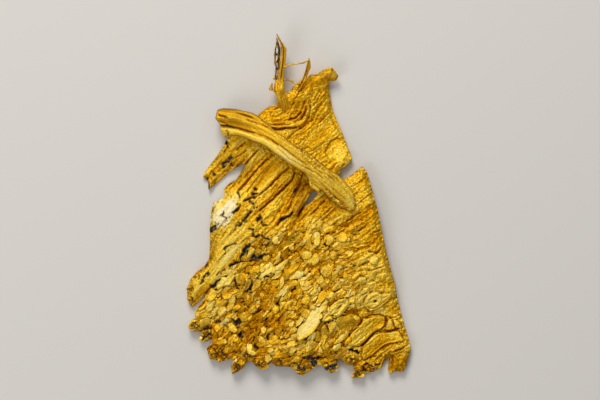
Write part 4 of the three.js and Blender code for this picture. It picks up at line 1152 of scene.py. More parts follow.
# The strip ends where the roll begins, but runs on past u 292 to 314.
SEAM = [
    (212, 122), (220, 123.5), (226.4, 124.6), (237.2, 128.4), (248.6, 131.5), (260, 134.4),
    (271.5, 140.1), (283, 147.5), (295.2, 157.2), (307, 165), (316, 172), (326, 184),
]
apart, side, *_ = nearest_on(SEAM, RASTER_U, RASTER_V)
strip -= 2.4 * step_up(apart * side, -0.2, 1.4) * step_up(-RASTER_U, -314, -292)
along, across, crest, half = follow(ROLL, RASTER_U, RASTER_V)
roll_lines = 0.6 * fibres(along, across, 26, 1.5) + 0.4 * fibres(along, across, 14, 0.8)
roll = crest - 1.0 * (across / half) ** 2 + 0.05 * roll_lines
on_roll = step_up(roll - strip, -0.15, 0.15)
band_face = np.maximum(strip, roll)
# Under the end of the roll a torn flap of the band falls to the slit in the sheet.
FLAP_HIGH, FLAP_FALL = 8.4, 0.13  # mm at its top, v 172, and mm a square below that
flap = FLAP_HIGH - FLAP_FALL * (RASTER_V - 172) - 0.03 * np.abs(RASTER_U - 313)
flap += 0.16 * strip_lines + 0.12 * grit + 0.1 * fine_streaks
on_flap = (flap > band_face) & (RASTER_U > 302) & (RASTER_U < 325)
band_face = np.where(on_flap, flap, band_face)
# Below its tail the band has a torn, duller fringe.
FRINGE = [(300, 175), (309, 173), (316, 178), (323.5, 184.5), (332, 192.5), (341, 200.5), (348, 206.6),
          (354, 212)]
apart, side, *_ = nearest_on(FRINGE, RASTER_U, RASTER_V)
on_fringe = step_up(apart * side, 0.0, 0.9) * step_up(RASTER_U, 318, 327)
band_face -= on_fringe * (0.6 - 0.14 * fine_streaks - 0.12 * grit)
band_face -= 0.3 * bell(apart, 0.7) * step_up(RASTER_U, 318, 327)
band_lines = np.where(roll > strip, roll_lines, strip_lines)
for wide, deep, path in BAND_CRACKS:
    line_up(band_face, wide, -deep, path)
BAND_ROUND, BAND_ROUND_HIGH = 2.4, 1.3  # of its edges: squares across, mm high
apart, *_ = nearest_on(BAND, RASTER_U, RASTER_V, closed=True)
from_rim = 1 - np.clip(apart / BAND_ROUND, 0, 1)
band_face -= BAND_ROUND_HIGH * (1 - np.sqrt(1 - from_rim**2))

# The roll is palest, then the lower end of the strip, the tail and the middle of the band, with a
# painted highlight on the crest of the tail; its fringe is duller, and its head is darker, most of
# all along its top edge, as painted shade.
band_tone = 0.48 + 0.23 * on_roll + 0.08 * band_lines
band_tone -= 0.15 * soft_spot(RASTER_U, RASTER_V, 227, 110, 10, 4)
band_tone += (0.21 - 0.08 * on_flap) * step_up(RASTER_U, 290, 315) * (1 - on_roll)
# Painted highlight on the crest of the tail.
band_tone += 0.14 * soft_spot(RASTER_U, RASTER_V, 350.4, 203, 8, 6)
band_tone -= 0.08 * on_fringe
band_tone += 0.16 * soft_spot(RASTER_U, RASTER_V, 288, 153, 20, 16)
# Painted shade in the band's cracks and creases, and along the top edge of its head.
band_hollow = 0.4 * sunk_in(band_face, 2.2, 0.7)
band_hollow += 0.7 * sunk_in(band_face, 0.9, 0.35)
band_hollow += on_fringe * (0.1 + 0.1 * fine_streaks)
band_hollow += 0.5 * soft_spot(RASTER_U, RASTER_V, 228, 109, 15, 2.5)
band_hollow += 0.38 * soft_spot(RASTER_U, RASTER_V, 238, 118, 16, 7)
band_hollow += 0.12 * np.clip(-strip_lines, 0, 2) * (1 - on_roll)
BAND_BLACK = [
    (0.9, [(226.4, 124.6), (231.5, 126.4), (235, 127.6)]),
    (0.6, [(227.8, 132.5), (228.2, 135)]),
    (0.8, [(330, 197), (331.6, 198.6)]),
    (0.8, [(333.4, 201), (336, 202.6)]),
]
band_black = np.zeros(RASTER_U.shape)
for wide, path in BAND_BLACK:
    area = around(path, 3 * wide)
    apart, *_ = nearest_on(path, RASTER_U[area], RASTER_V[area])
    band_black[area] = np.maximum(band_black[area], bell(apart, wide))

FOOT_SUNK = 0.7  # mm of the band's foot inside the sheet
HEAD_THICK = 2.6  # mm of the band beyond the sheet
BAND_THIN = 0.8  # mm of it at the least
over_sheet = step_up(inside_rim, -0.5, 2.5)
band_back = over_sheet * (level(RASTER_U, RASTER_V) - FOOT_SUNK)
band_back += (1 - over_sheet) * (soften(band_face, 2.0) - HEAD_THICK)
band_back = np.minimum(band_back, band_face - BAND_THIN)

band = leaf_of_gold("leaf_band", BAND, [], 0.6, band_face, band_back)
keep_values(band, band_tone, band_hollow, band_black)
hand_over(band)

# ---------------------------------------------------------------- spike
# A narrow blade stands out from the top edge, with a ragged web and a hook at its left and two
# hair-thin wires at its right that run to a small leg. It is one growth with the sheet.

BLADE = [
    (276.4, 33.8), (277.8, 35.8), (279.5, 38.8), (280.8, 41.3), (283, 43.6), (284.3, 46), (285.5, 47.4),
    (286.1, 49), (285.9, 52), (285.5, 58), (285.2, 62), (284.9, 66), (283.8, 69.5), (283.5, 74),
    (283.3, 78), (283.7, 84), (284.3, 88), (285.2, 92), (287, 95.5), (289.5, 99), (290, 104), (287, 110),
    (281, 111), (276.5, 107.5), (276, 103.5), (277.3, 101), (277, 98.5), (276, 95.5), (274.3, 92.5),
    (273.2, 89.5), (273.5, 86), (274.3, 82), (274.9, 78), (276.4, 79), (277.2, 80.8), (277.7, 79),
    (277.6, 76), (278.3, 70), (278.8, 64), (280, 60), (280.3, 54), (280.2, 50), (280, 45), (279.2, 42),
    (277.6, 39.5), (276.9, 37), (275.9, 35.3),
]
BLADE_ROWS = [
    # u, v, height of the crest in mm, half width in squares
    (276.3, 33.8, 8.0, 0.8), (280, 41, 7.8, 1.2), (283, 49, 7.5, 2.6), (282.7, 57, 7.0, 2.6),
    (282, 64, 6.5, 3), (280.8, 72, 6.0, 3), (280.2, 79, 5.6, 3), (279.3, 86, 5.2, 5),
    (279.8, 92, 4.9, 6), (281, 99, 4.5, 6), (283, 105, 3.6, 6), (283.5, 111, 2.6, 6),
]


def blade_face(u, v):
    """Height in mm of the blade: two long ridges with a groove between them, and a knob below."""
    along, across, crest, half = follow(BLADE_ROWS, u, v)
    groove = bell(across + 0.3, 0.7) * step_up(-v, -84, -76)
    lines = fibres(along, across, 11, 0.9)
    knob = 0.7 * soft_spot(u, v, 281, 88.5, 2.6, 4)
    return crest - 0.75 * (across / half) ** 2 - 0.75 * groove + 0.12 * lines + knob


blade = leaf_of_gold(
    "blade", BLADE, [], 0.4, blade_face,
    lambda u, v: follow(BLADE_ROWS, u, v)[2] - 1.5 - 0.1 * follow(BLADE_ROWS, u, v)[3],
)
# Painted glint on the knob of the blade, and painted shade in its groove.
keep_values(
    blade,
    lambda u, v: 0.5 + 0.25 * soft_spot(u, v, 281.5, 88, 2, 3),
    lambda u, v: 0.75 * bell(follow(BLADE_ROWS, u, v)[1] + 0.3, 0.6) * step_up(-v, -84, -76),
    0,
)

WEB = [
    (275.8, 36.4), (277.4, 40), (278.6, 43.5), (279.8, 48), (280, 54), (279.6, 60), (278.6, 64),
    (278, 70), (277.4, 76), (277.0, 79), (275.8, 79.6), (274.6, 79), (272.6, 78.9), (272.9, 77.4),
    (274.2, 77), (274.4, 74), (274.9, 70), (275.1, 67), (274.0, 64), (273.5, 61.5), (274.0, 59.5),
    (273.8, 57), (273.4, 54.5), (273.9, 52), (274.2, 49.5), (274.8, 47), (275.5, 45), (275.3, 43),
    (276.0, 41), (275.6, 39),
]
WEB_GAPS = [
    [(276.6, 46.5), (277.6, 49), (277.3, 52.5), (276.3, 53.5), (275.6, 51), (275.8, 48.5)],
    [(275.4, 55.5), (276.6, 55), (277.1, 58), (276.4, 61), (275.3, 59.8)],
    [(276.2, 62.5), (277.2, 63), (277, 66.5), (276.5, 68)],
    [(276.6, 70), (277.2, 70.5), (276.6, 75.5), (275.9, 75)],
]
web = leaf_of_gold(
    "web", WEB, WEB_GAPS, 0.3,
    lambda u, v: 7.0 - 0.045 * (v - 50) - 0.25 * (281 - u) + 0.18 * fibres(v, u, 2.2, 1.2),
    lambda u, v: 6.0 - 0.045 * (v - 50) - 0.25 * (281 - u),
    back_keeps=0.4,
)
keep_values(
    web,
    lambda u, v: 0.35 + 0.2 * fibres(v, u, 2.0, 1.2),
    lambda u, v: 0.35 + 0.65 * bell(u - 278.6, 1.3),
    lambda u, v: 0.55 + 0.35 * bell(u - 278.8, 1.0) - 0.5 * fibres(v, u, 1.6, 1.0),
)

HOOK = [
    (271.2, 82.3), (272.2, 82.6), (272.4, 84.2), (271.9, 86), (272.8, 88), (274.2, 89), (275.5, 91),
    (274.5, 92.2), (272.5, 90.4), (269.2, 89.9), (268.2, 88.9), (268.5, 87.2), (269.6, 86.2),
    (270.2, 84.6),
]
hook = leaf_of_gold(
    "hook", HOOK, [], 0.4,
    lambda u, v: 4.9 - 0.12 * np.abs(u - 271.5) + 0.15 * fibres(v, u, 2.5, 1.2),
    3.7,
    back_keeps=0.4,
)
keep_values(hook, 0.6, lambda u, v: 0.25 + 0.2 * (v > 87.5), 0)

LEG = [
    (308.2, 57.8), (309.4, 59.6), (309.9, 61.5), (310.2, 64.5), (310.4, 66.8), (309.5, 69.5),
    (308.2, 71.5), (307.3, 74), (306.2, 77.2), (304.5, 80.5), (301.5, 86), (299, 90), (294.5, 91),
    (296.5, 87), (299.2, 82.5), (300.6, 80.3), (302, 77.5), (303.6, 74), (304.7, 70.5), (305.5, 67.5),
    (306.3, 64), (307.2, 61.3),
]
LEG_ROWS = [
    (308.4, 57.8, 8.0, 0.8), (308.3, 63, 7.6, 1.8), (307.5, 68, 7.0, 2.2), (305.5, 74, 6.1, 2),
    (303.2, 79, 5.5, 2), (300, 85, 4.8, 3), (296.5, 90.5, 4.0, 3),
]


def leg_face(u, v):
    """Height in mm of the leg, with one long groove."""
    along, across, crest, half = follow(LEG_ROWS, u, v)
    groove = 0.5 * bell(across - 0.4, 0.5)
    return crest - 0.6 * (across / half) ** 2 - groove + 0.1 * fibres(along, across, 7, 0.8)


leg = leaf_of_gold(
    "leg", LEG, [], 0.4, leg_face, lambda u, v: follow(LEG_ROWS, u, v)[2] - 1.5, back_keeps=0.4
)
# Painted shade in the leg's groove.
keep_values(
    leg,
    lambda u, v: 0.45 + 0.15 * fibres(v, u, 5, 1),
    lambda u, v: 0.6 * bell(follow(LEG_ROWS, u, v)[1] - 0.4, 0.6),
    0,
)

WIRES = [
    # u, v, height in mm, half thickness in squares
    [(283.2, 66.8, 6.3, 1.0), (286, 66.5, 6.4, 0.85), (288, 65.8, 6.5, 0.8), (289.5, 64.8, 6.6, 0.85),
     (293, 64, 6.8, 0.75), (297, 63.8, 7.0, 0.7), (300, 63.4, 7.2, 0.75), (303, 63, 7.3, 0.7),
     (305, 62, 7.4, 0.75), (306.5, 60.9, 7.5, 0.85), (308.6, 60.8, 7.5, 1.0)],
    [(283, 79.4, 5.3, 1.0), (286, 79.2, 5.1, 0.85), (288.5, 79.8, 4.9, 0.8), (291, 80.8, 4.8, 0.9),
     (293.5, 82.5, 4.7, 0.8), (295.5, 83.5, 4.6, 0.9), (298, 83.6, 4.7, 0.9), (300.5, 82.6, 4.8, 1.1)],
]
wires = []
for rows in WIRES:
    bpy.ops.object.select_all(action="DESELECT")
    bpy.ops.curve.primitive_bezier_curve_add()
    wire = bpy.context.object
    wire.data.splines.clear()
    thread = wire.data.splines.new("NURBS")
    thread.points.add(len(rows) - 1)
    for point, (at_u, at_v, z_mm, half) in zip(thread.points, rows):
        point.co = (*place(at_u, at_v, z_mm), 1)
        point.radius = half
    thread.order_u = 3
    thread.use_endpoint_u = True
    thread.resolution_u = 5
    wire.data.bevel_depth = SQUARE
    wire.data.bevel_resolution = 2
    wire.data.use_fill_caps = True
    bpy.ops.object.convert(target="MESH")
    keep_values(
        wire,
        lambda u, v: 0.55 + 0.2 * fibres(u, v, 3, 2),
        lambda u, v: 0.2 - 0.2 * fibres(u, v, 2, 2),
        0,
    )
    wires.append(wire)


def join(pieces, name):
    """Joins pieces into the first of them."""
    bpy.ops.object.select_all(action="DESELECT")
    for piece in pieces:
        piece.select_set(True)
    bpy.context.view_layer.objects.active = pieces[0]
    bpy.ops.object.join()
    pieces[0].name = name
    return pieces[0]


spike = join([blade, web, hook, leg, *wires], "leaf_spike")
bpy.ops.object.mode_set(mode="EDIT")
bpy.ops.mesh.select_all(action="SELECT")
bpy.ops.mesh.normals_make_consistent(inside=False)
bpy.ops.object.mode_set(mode="OBJECT")
bpy.ops.object.transform_apply(location=True, rotation=True, scale=True)
bpy.ops.object.shade_smooth()
hand_over(spike)

# ---------------------------------------------------------------- crust of flakes
# Thin flakes of gold overlap like shingles over the lower half of the sheet, each tilted its own
# way and grown on to the sheet by its foot. The large ones are listed one by one, the rest laid at random.

FLAKES = [
    # how pale they are, then their outlines
    # over the middle of the crust
    (0.8, [(274, 266.5), (277, 264.5), (281, 262), (285.5, 259), (288, 257.8), (287.5, 261), (284.5, 264.5),
        (283, 268), (279, 269.5), (274, 270.5)]),
    (0.85, [(266, 264), (268.5, 262), (271, 262), (274, 264), (272.5, 268), (271.5, 271), (268, 273.5),
        (264, 275), (261.5, 278), (259.5, 277.5), (261, 271.5), (264.5, 270), (264, 266)]),
    (0.68, [(260, 263.5), (262.5, 262.5), (264.5, 265), (264, 270), (261, 272), (259.5, 270), (259, 266)]),
    (0.5, [(252.5, 266), (257, 264.5), (259, 266.5), (259.5, 271), (257, 273), (253, 270.5),
        (251.5, 268.5)], [(245.5, 268), (247.5, 265.5), (251, 265.5), (251.5, 268), (249.5, 271.5),
        (246, 272), (245, 270.5)]),
    (0.38, [(249.5, 272), (253, 271.2), (256, 273.5), (255, 277), (252.5, 279.5), (249, 278.5),
        (248, 275.5)]),
    (0.5, [(244, 283), (247, 279.5), (250.5, 279.2), (250.5, 282.5), (248, 287), (245.5, 290), (243, 290),
        (243, 287)], [(253.5, 282.5), (255.5, 281.8), (256.5, 284.5), (254.5, 289), (252.5, 291),
        (251, 290.5), (251.5, 286.5)], [(255, 279), (257, 278), (258.5, 280), (257.5, 283), (255, 282)]),
    (0.8, [(273, 272), (277, 270.5), (281, 270.8), (280.5, 274), (279, 276.5), (275, 278), (271, 279),
        (271.5, 276.5), (275, 274.5)]),
    (0.42, [(270.5, 280.5), (278.5, 279.5), (279, 283), (276, 286.5), (271, 287.5), (270, 284)]),
    (0.8, [(280.5, 277), (283, 276.5), (283.5, 279), (283.5, 282.5), (282, 286), (279.5, 288.5),
        (279, 286)]),
    (0.85, [(275, 295.5), (278, 293), (281, 289), (284.5, 286.5), (287, 284.8), (286.3, 288), (285, 291),
        (281.5, 294), (278, 296.3), (275.5, 296.5)]),
    (0.65, [(286, 291.5), (289, 290.3), (291, 292.5), (290, 296), (288, 297.5), (285.8, 296)]),
    (0.5, [(288.5, 284), (290, 282), (293, 281), (294, 283.5), (292.5, 288), (290, 288.5), (288.5, 287.5)]),
    (0.38, [(284, 268.5), (289, 268), (294, 263), (297, 262.5), (298, 266), (295, 271), (291, 275),
        (286, 279.5), (284, 280), (283.5, 276)]),
    (0.82, [(296, 271), (300, 269.5), (303, 272), (302, 275), (299, 277.5), (294, 278.3), (289, 279),
        (290, 276), (293.5, 274)]),
    (0.62, [(250, 247.5), (252, 247), (254.5, 249.5), (253.5, 252.5), (251.5, 254.5), (250, 258),
        (246.5, 257.5), (247, 253.5), (248.5, 250)]),
    (0.5, [(240, 262), (246.5, 261.5), (247.5, 264), (244, 267.5), (240, 270), (236, 270)], [(262.5, 259.5),
        (263, 256.5), (267, 254.5), (270, 255), (270, 258), (266, 260.5)]),
    (0.8, [(276, 259), (277, 255), (279, 250.5), (280, 253.5), (279.5, 257), (278.5, 260.5), (275, 263.5),
        (272.5, 264)]),
    (0.25, [(281, 254.5), (283, 252), (287, 249), (288, 252), (284, 256.5), (281, 257.5)]),
    (0.65, [(289.5, 243), (291.5, 240.5), (293.5, 243), (293, 248.5), (290.5, 250), (288.5, 247.5)]),
    (0.3, [(294, 255), (296, 252.5), (297.5, 256.5), (295, 260), (291, 259.5), (291, 257)]),
    (0.5, [(258, 286.5), (259.5, 286), (260, 289), (257.5, 289.5)], [(262.5, 279.5), (265, 279.5),
        (266, 282), (264, 285), (262, 287)]),
    # right of the middle
    (0.8, [(313, 236), (314, 232.5), (317, 231.5), (319.5, 234), (319.5, 240), (318.5, 244), (315.5, 245.5),
        (313.5, 243)]),
    (0.75, [(324, 235), (327.5, 234), (331, 236), (333, 239), (331, 242.5), (328, 244.3), (325.5, 243.5),
        (324.5, 239.5)]),
    (0.5, [(323, 229.5), (326.5, 226.5), (332.5, 225.5), (333, 229.5), (329, 231.5), (324, 232.5)],
        [(300.5, 236), (304, 234), (309, 234), (310.5, 236.5), (310.5, 243), (312, 247), (308, 249),
        (304, 247.5), (305, 242)]),
    (0.65, [(301.5, 252.5), (305, 251), (311, 251.5), (311.5, 255), (309, 258), (303, 259), (301, 256)]),
    (0.68, [(311, 256), (315, 252.5), (318, 256), (318.5, 260), (315, 264), (311, 264.5), (306, 261),
        (306, 259)]),
    (0.42, [(319, 255), (323, 253), (326.5, 253), (328.5, 257.5), (325, 259.5), (320, 261.5),
        (318.5, 258.5)]),
    (0.5, [(329, 252), (333, 250.5), (336, 252.5), (335, 257), (333, 259.5), (331, 258), (328.5, 256)]),
    (0.62, [(320.5, 268), (322, 263.5), (325, 262.5), (327.5, 263), (330, 261.5), (333, 264), (333, 266.5),
        (331, 269), (330.5, 273), (327, 276), (322.5, 275), (320.5, 271.5)]),
    (0.42, [(297, 258), (299, 257), (300.5, 260), (301.5, 263), (299.5, 264), (297.5, 261)]),
    (0.5, [(310.5, 272), (313, 268), (316, 264.5), (319, 264.5), (318, 267.5), (315, 270.5), (313, 274),
        (311, 274.5)]),
    (0.65, [(316, 275.5), (319, 273), (322, 276), (323.5, 279), (321, 282.5), (317.5, 283), (316, 279)],
        [(325.5, 278), (328, 277), (329, 280), (327.5, 283), (325, 282)], [(330.5, 275), (333, 271.5),
        (338, 270.5), (337.5, 274), (335, 279), (332, 281), (330.5, 278.5)]),
    (0.68, [(340, 283), (344, 278.5), (348, 275.5), (351, 274.5), (350, 278), (345, 283), (341, 285)]),
    (0.42, [(345, 271), (349, 268.5), (354, 266.5), (355, 271), (350, 273.5), (346, 273)]),
    (0.55, [(338, 233), (342, 231), (345.5, 233.5), (347, 238), (344, 241), (338.5, 241), (336.5, 237.5)]),
    (0.5, [(333, 246), (340, 243), (346, 241), (350, 243), (347, 246), (340, 249), (334, 249.5)]),
    (0.75, [(340, 253), (345, 250.5), (351, 250), (353.5, 252), (350, 255), (348, 257), (346, 253),
        (342, 254.5)]),
    (0.5, [(303, 264.5), (304, 267), (301.5, 270.5), (299, 270), (298, 267)]),
    (0.65, [(306, 266.5), (308, 265), (307.5, 270), (306.5, 274), (304, 273.5), (304.5, 270)]),
    (0.8, [(299, 281), (303, 280), (308, 280.5), (310, 283), (307, 286), (300, 285)]),
    (0.7, [(335, 231.5), (338, 229), (342, 227), (345, 227.5), (341, 230), (337, 232.5)]),
    # lower left
    (0.65, [(206, 296), (209, 290.5), (214, 290), (217, 293), (213, 299), (208, 301), (205.5, 299)]),
    (0.5, [(200, 313), (205, 310.5), (210, 311), (209, 315), (204, 317), (198, 318), (196, 315)]),
    (0.38, [(197, 309), (200, 306.5), (203, 304), (205, 301), (207, 302), (204, 307), (200, 310)]),
    (0.42, [(215, 302), (222, 300), (226, 303), (224, 306), (219, 308), (216, 306)]),
    (0.8, [(217, 311), (220, 307), (224, 306.5), (226, 309.5), (223, 313), (220, 316), (217, 314.5)]),
    (0.65, [(226, 306), (231, 302), (233.5, 304), (232, 308), (228, 311), (224.5, 312)]),
    (0.8, [(231, 313.5), (233.5, 312), (235.5, 315), (236.5, 318), (234, 319.5), (231, 317)]),
    (0.38, [(233, 306), (238, 304), (241, 307), (236, 309.5), (232, 310)]),
    (0.5, [(222, 292), (226, 288.5), (231, 290), (232, 294), (229, 298), (224, 299), (221.5, 296)]),
    (0.75, [(229, 299), (232, 296), (235, 298), (234, 303), (230, 305), (228, 302)]),
    (0.42, [(236, 293), (240, 290), (243, 292.5), (242, 297), (238, 299), (235.5, 296)]),
    (0.55, [(235, 275), (240, 272.5), (244, 273), (245, 278), (243, 284), (239, 283.5), (236, 281),
        (235.5, 277.5)]),
    # right side
    (0.6, [(357, 260), (360, 257), (365, 257), (367, 258.5), (362, 262), (358, 266), (355, 268)]),
    (0.8, [(369, 260), (371, 257), (375, 255), (378, 258), (377, 263), (373, 264), (370, 262)]),
    (0.65, [(368, 276), (370, 272), (373, 270), (376, 271), (375, 275), (372, 278.5), (368, 279.5)],
        [(356, 280), (360, 276.5), (364, 276.5), (366, 280), (363, 284), (358, 281.5)]),
    # below the middle
    (0.65, [(250.5, 305), (254, 304.5), (256, 308), (254, 312.5), (250, 313), (248, 310)]),
    (0.5, [(241, 313), (246, 311.5), (249, 314), (248, 318), (245, 321), (241, 321), (239, 317)]),
    (0.8, [(256, 300.5), (259.5, 300.5), (259.5, 303.5), (256, 303.5)]),
    (0.62, [(273, 302), (276, 305), (278.5, 308), (277.5, 312), (273.5, 313.5), (272, 309), (271.5, 305)]),
    (0.45, [(280.5, 302), (285, 301), (288, 303.5), (288.5, 307), (285, 309), (282, 306)]),
    (0.8, [(288.5, 322), (291.5, 320.5), (294, 321), (292, 326), (288.5, 325.5)]),
    (0.35, [(275, 326), (278, 325.5), (280, 327.5), (277.5, 330.5), (274.5, 330)]),
    (0.68, [(260.5, 327), (264, 325.5), (266, 329), (263.5, 333), (260.5, 331.5)]),
    (0.8, [(281, 330.5), (283, 332), (281.5, 334.5), (279.5, 332.5)], [(284, 336), (286.5, 334.5),
        (288, 336), (285.5, 338)]),
    (0.68, [(257.5, 337), (260.5, 336), (264, 338.5), (264.5, 342), (262, 343), (258.5, 341.5)]),
    (0.8, [(247, 343), (250, 342.5), (252, 346), (250.5, 350), (254.5, 351), (255.5, 353), (252, 355),
        (248, 353), (246, 348)]),
    (0.75, [(268, 348), (272, 347), (273, 350), (269, 352.5), (267, 351)], [(290, 347), (294, 346),
        (296, 349), (293, 352), (290, 351)]),
    (0.5, [(271, 335.5), (275, 334.5), (278, 337), (275, 340), (271, 342.5)], [(282, 348), (286, 346),
        (288, 350), (285, 353), (281, 351)]),
    (0.65, [(330, 322), (333, 321.5), (335.5, 324), (337, 327.5), (336, 329.5), (332.5, 331.5),
        (329.5, 331), (328.5, 327), (328, 324)]),
    (0.5, [(322, 327), (324.5, 326), (327, 329), (328, 333), (326, 336), (322.5, 337), (321, 334),
        (320.5, 329.5)]),
    (0.45, [(337, 318), (341, 316.5), (346, 316), (351, 316.5), (354, 320), (353, 325), (348, 329),
        (341, 329), (338, 326), (336.5, 322)]),
    (0.5, [(315.5, 335), (317.5, 333), (319.5, 336), (319.5, 340), (315, 340)]),
    (0.8, [(301.5, 288), (304, 286), (308, 285), (310, 283.5), (311.5, 285.5), (308, 288.5), (303, 290)]),
    (0.62, [(313, 288), (316, 289.5), (318, 292), (315, 296), (313, 300.5), (311, 297), (312, 292)]),
    (0.45, [(318, 293), (321, 291), (325, 291.5), (328, 294), (325, 297), (323, 300), (319, 303),
        (317.5, 299)], [(341, 292), (344, 290), (347, 292), (344, 296), (339, 298)]),
    (0.42, [(301, 309.5), (305, 308.5), (309, 311), (309, 315), (306, 318), (301, 314)]),
    (0.5, [(303, 296), (308, 295.5), (310, 299), (307, 303), (303, 303.5), (301, 300)]),
    (0.8, [(310, 305), (314, 304.5), (315, 307), (312, 308.5), (309.5, 307.5)]),
    # bottom left
    (0.75, [(188, 324), (190, 322), (194, 320), (197, 321), (199, 324), (198, 328), (194, 329.5),
        (190, 329.5), (188, 327)]),
    (0.68, [(199, 320), (206, 317.5), (210, 319), (209.5, 323), (205, 325.5), (201.5, 328.5),
        (199.5, 326)]),
    (0.8, [(198.5, 338), (200, 335.5), (202, 336.5), (201.5, 339), (199.5, 339.5)]),
    (0.45, [(214, 326), (217, 325), (221, 328), (221.5, 332), (219, 335.5), (216.5, 333), (214, 329.5)]),
    (0.4, [(223.5, 327), (226, 326.5), (227, 329), (224, 333)]),
    (0.7, [(228, 324), (231, 322.5), (234, 326), (237, 330), (234, 332.5), (230, 331), (228, 327.5)]),
    (0.5, [(231, 335), (235, 334), (238, 337), (237, 341), (233, 342), (231, 339)]),
    (0.35, [(241, 342), (244, 343), (243, 348), (239, 348), (238, 345)]),
    (0.42, [(216, 350), (220, 350.5), (220, 356), (216.5, 356.5)]),
    # bottom edge
    (0.68, [(265, 354.5), (268, 353.5), (270, 356), (269, 360), (265.5, 361.5), (264, 358)]),
    (0.5, [(256.5, 362), (259, 360.5), (262, 363), (267, 364), (268, 366), (264, 368.5), (259, 368.5),
        (256.5, 365.5)]),
    (0.3, [(274, 355), (279, 352), (284, 351.5), (284, 355), (279, 357.5), (275, 358)]),
    (0.5, [(289, 359), (293, 357), (298, 355.5), (300, 358), (296, 361), (291, 361.5)], [(311, 342),
        (314, 340.5), (318, 343), (317.5, 347), (313, 349), (311, 346)]),
    (0.8, [(319.3, 344), (320.2, 347), (322, 350), (322, 352), (317.5, 352), (318.5, 348)]),
    (0.5, [(322, 345), (326, 343), (329, 345), (328, 350), (323, 349.5)]),
    (0.68, [(333, 345), (336, 344), (341, 342.5), (340, 347), (336, 350.5), (332.5, 349.5)]),
    (0.66, [(334, 341.5), (338, 337), (341, 334), (346, 334.5), (345, 338), (341, 341), (336, 343),
        (333.5, 343.5)]),
    (0.5, [(357, 348.5), (360, 347), (361, 350), (358, 351.5)]),
    (0.75, [(371.5, 363), (374, 362), (374, 366), (372, 369), (370.5, 368)]),
    (0.7, [(357, 374), (361, 373), (364, 374.5), (363, 377), (358, 377)]),
    (0.45, [(343, 357), (346, 358), (349, 354), (352, 352), (356, 354), (358, 357), (356, 361),
        (352, 364.5), (347, 364.5), (344, 362)]),
    (0.4, [(320, 361), (325, 359), (329, 357.5), (330, 360), (325, 362.5), (321, 363.5)]),
]

FLAKE_SIDES = 20
FLAKE_SUNK = 0.9  # mm of a flake's foot under the smoothed face
FLAKE_RISE = 0.45  # mm that a flake's rim rises by its tilt, at most
CORNER_CUT, CORNER_KEPT = 0.07, 0.93  # of each side of a flake's outline
MEAN_TONE = 0.58  # paler flakes than this lean towards the light
soft_face = soften(face, 2.5)


def cut_corners(outline, sides):
    """An outline with its corners cut, as `sides` points evenly along it."""
    corners = np.array(outline, float)
    ahead = np.roll(corners, -1, axis=0)
    near, far = CORNER_KEPT * corners + CORNER_CUT * ahead, CORNER_CUT * corners + CORNER_KEPT * ahead
    cut = np.stack([near, far], axis=1)
    closed = np.concatenate([cut.reshape(-1, 2), cut[0, :1]])
    lengths = np.concatenate([[0], np.cumsum(np.hypot(*np.diff(closed, axis=0).T))])
    spots = np.linspace(0, lengths[-1], sides, endpoint=False)
    return np.stack([np.interp(spots, lengths, closed[:, i]) for i in (0, 1)], axis=1)


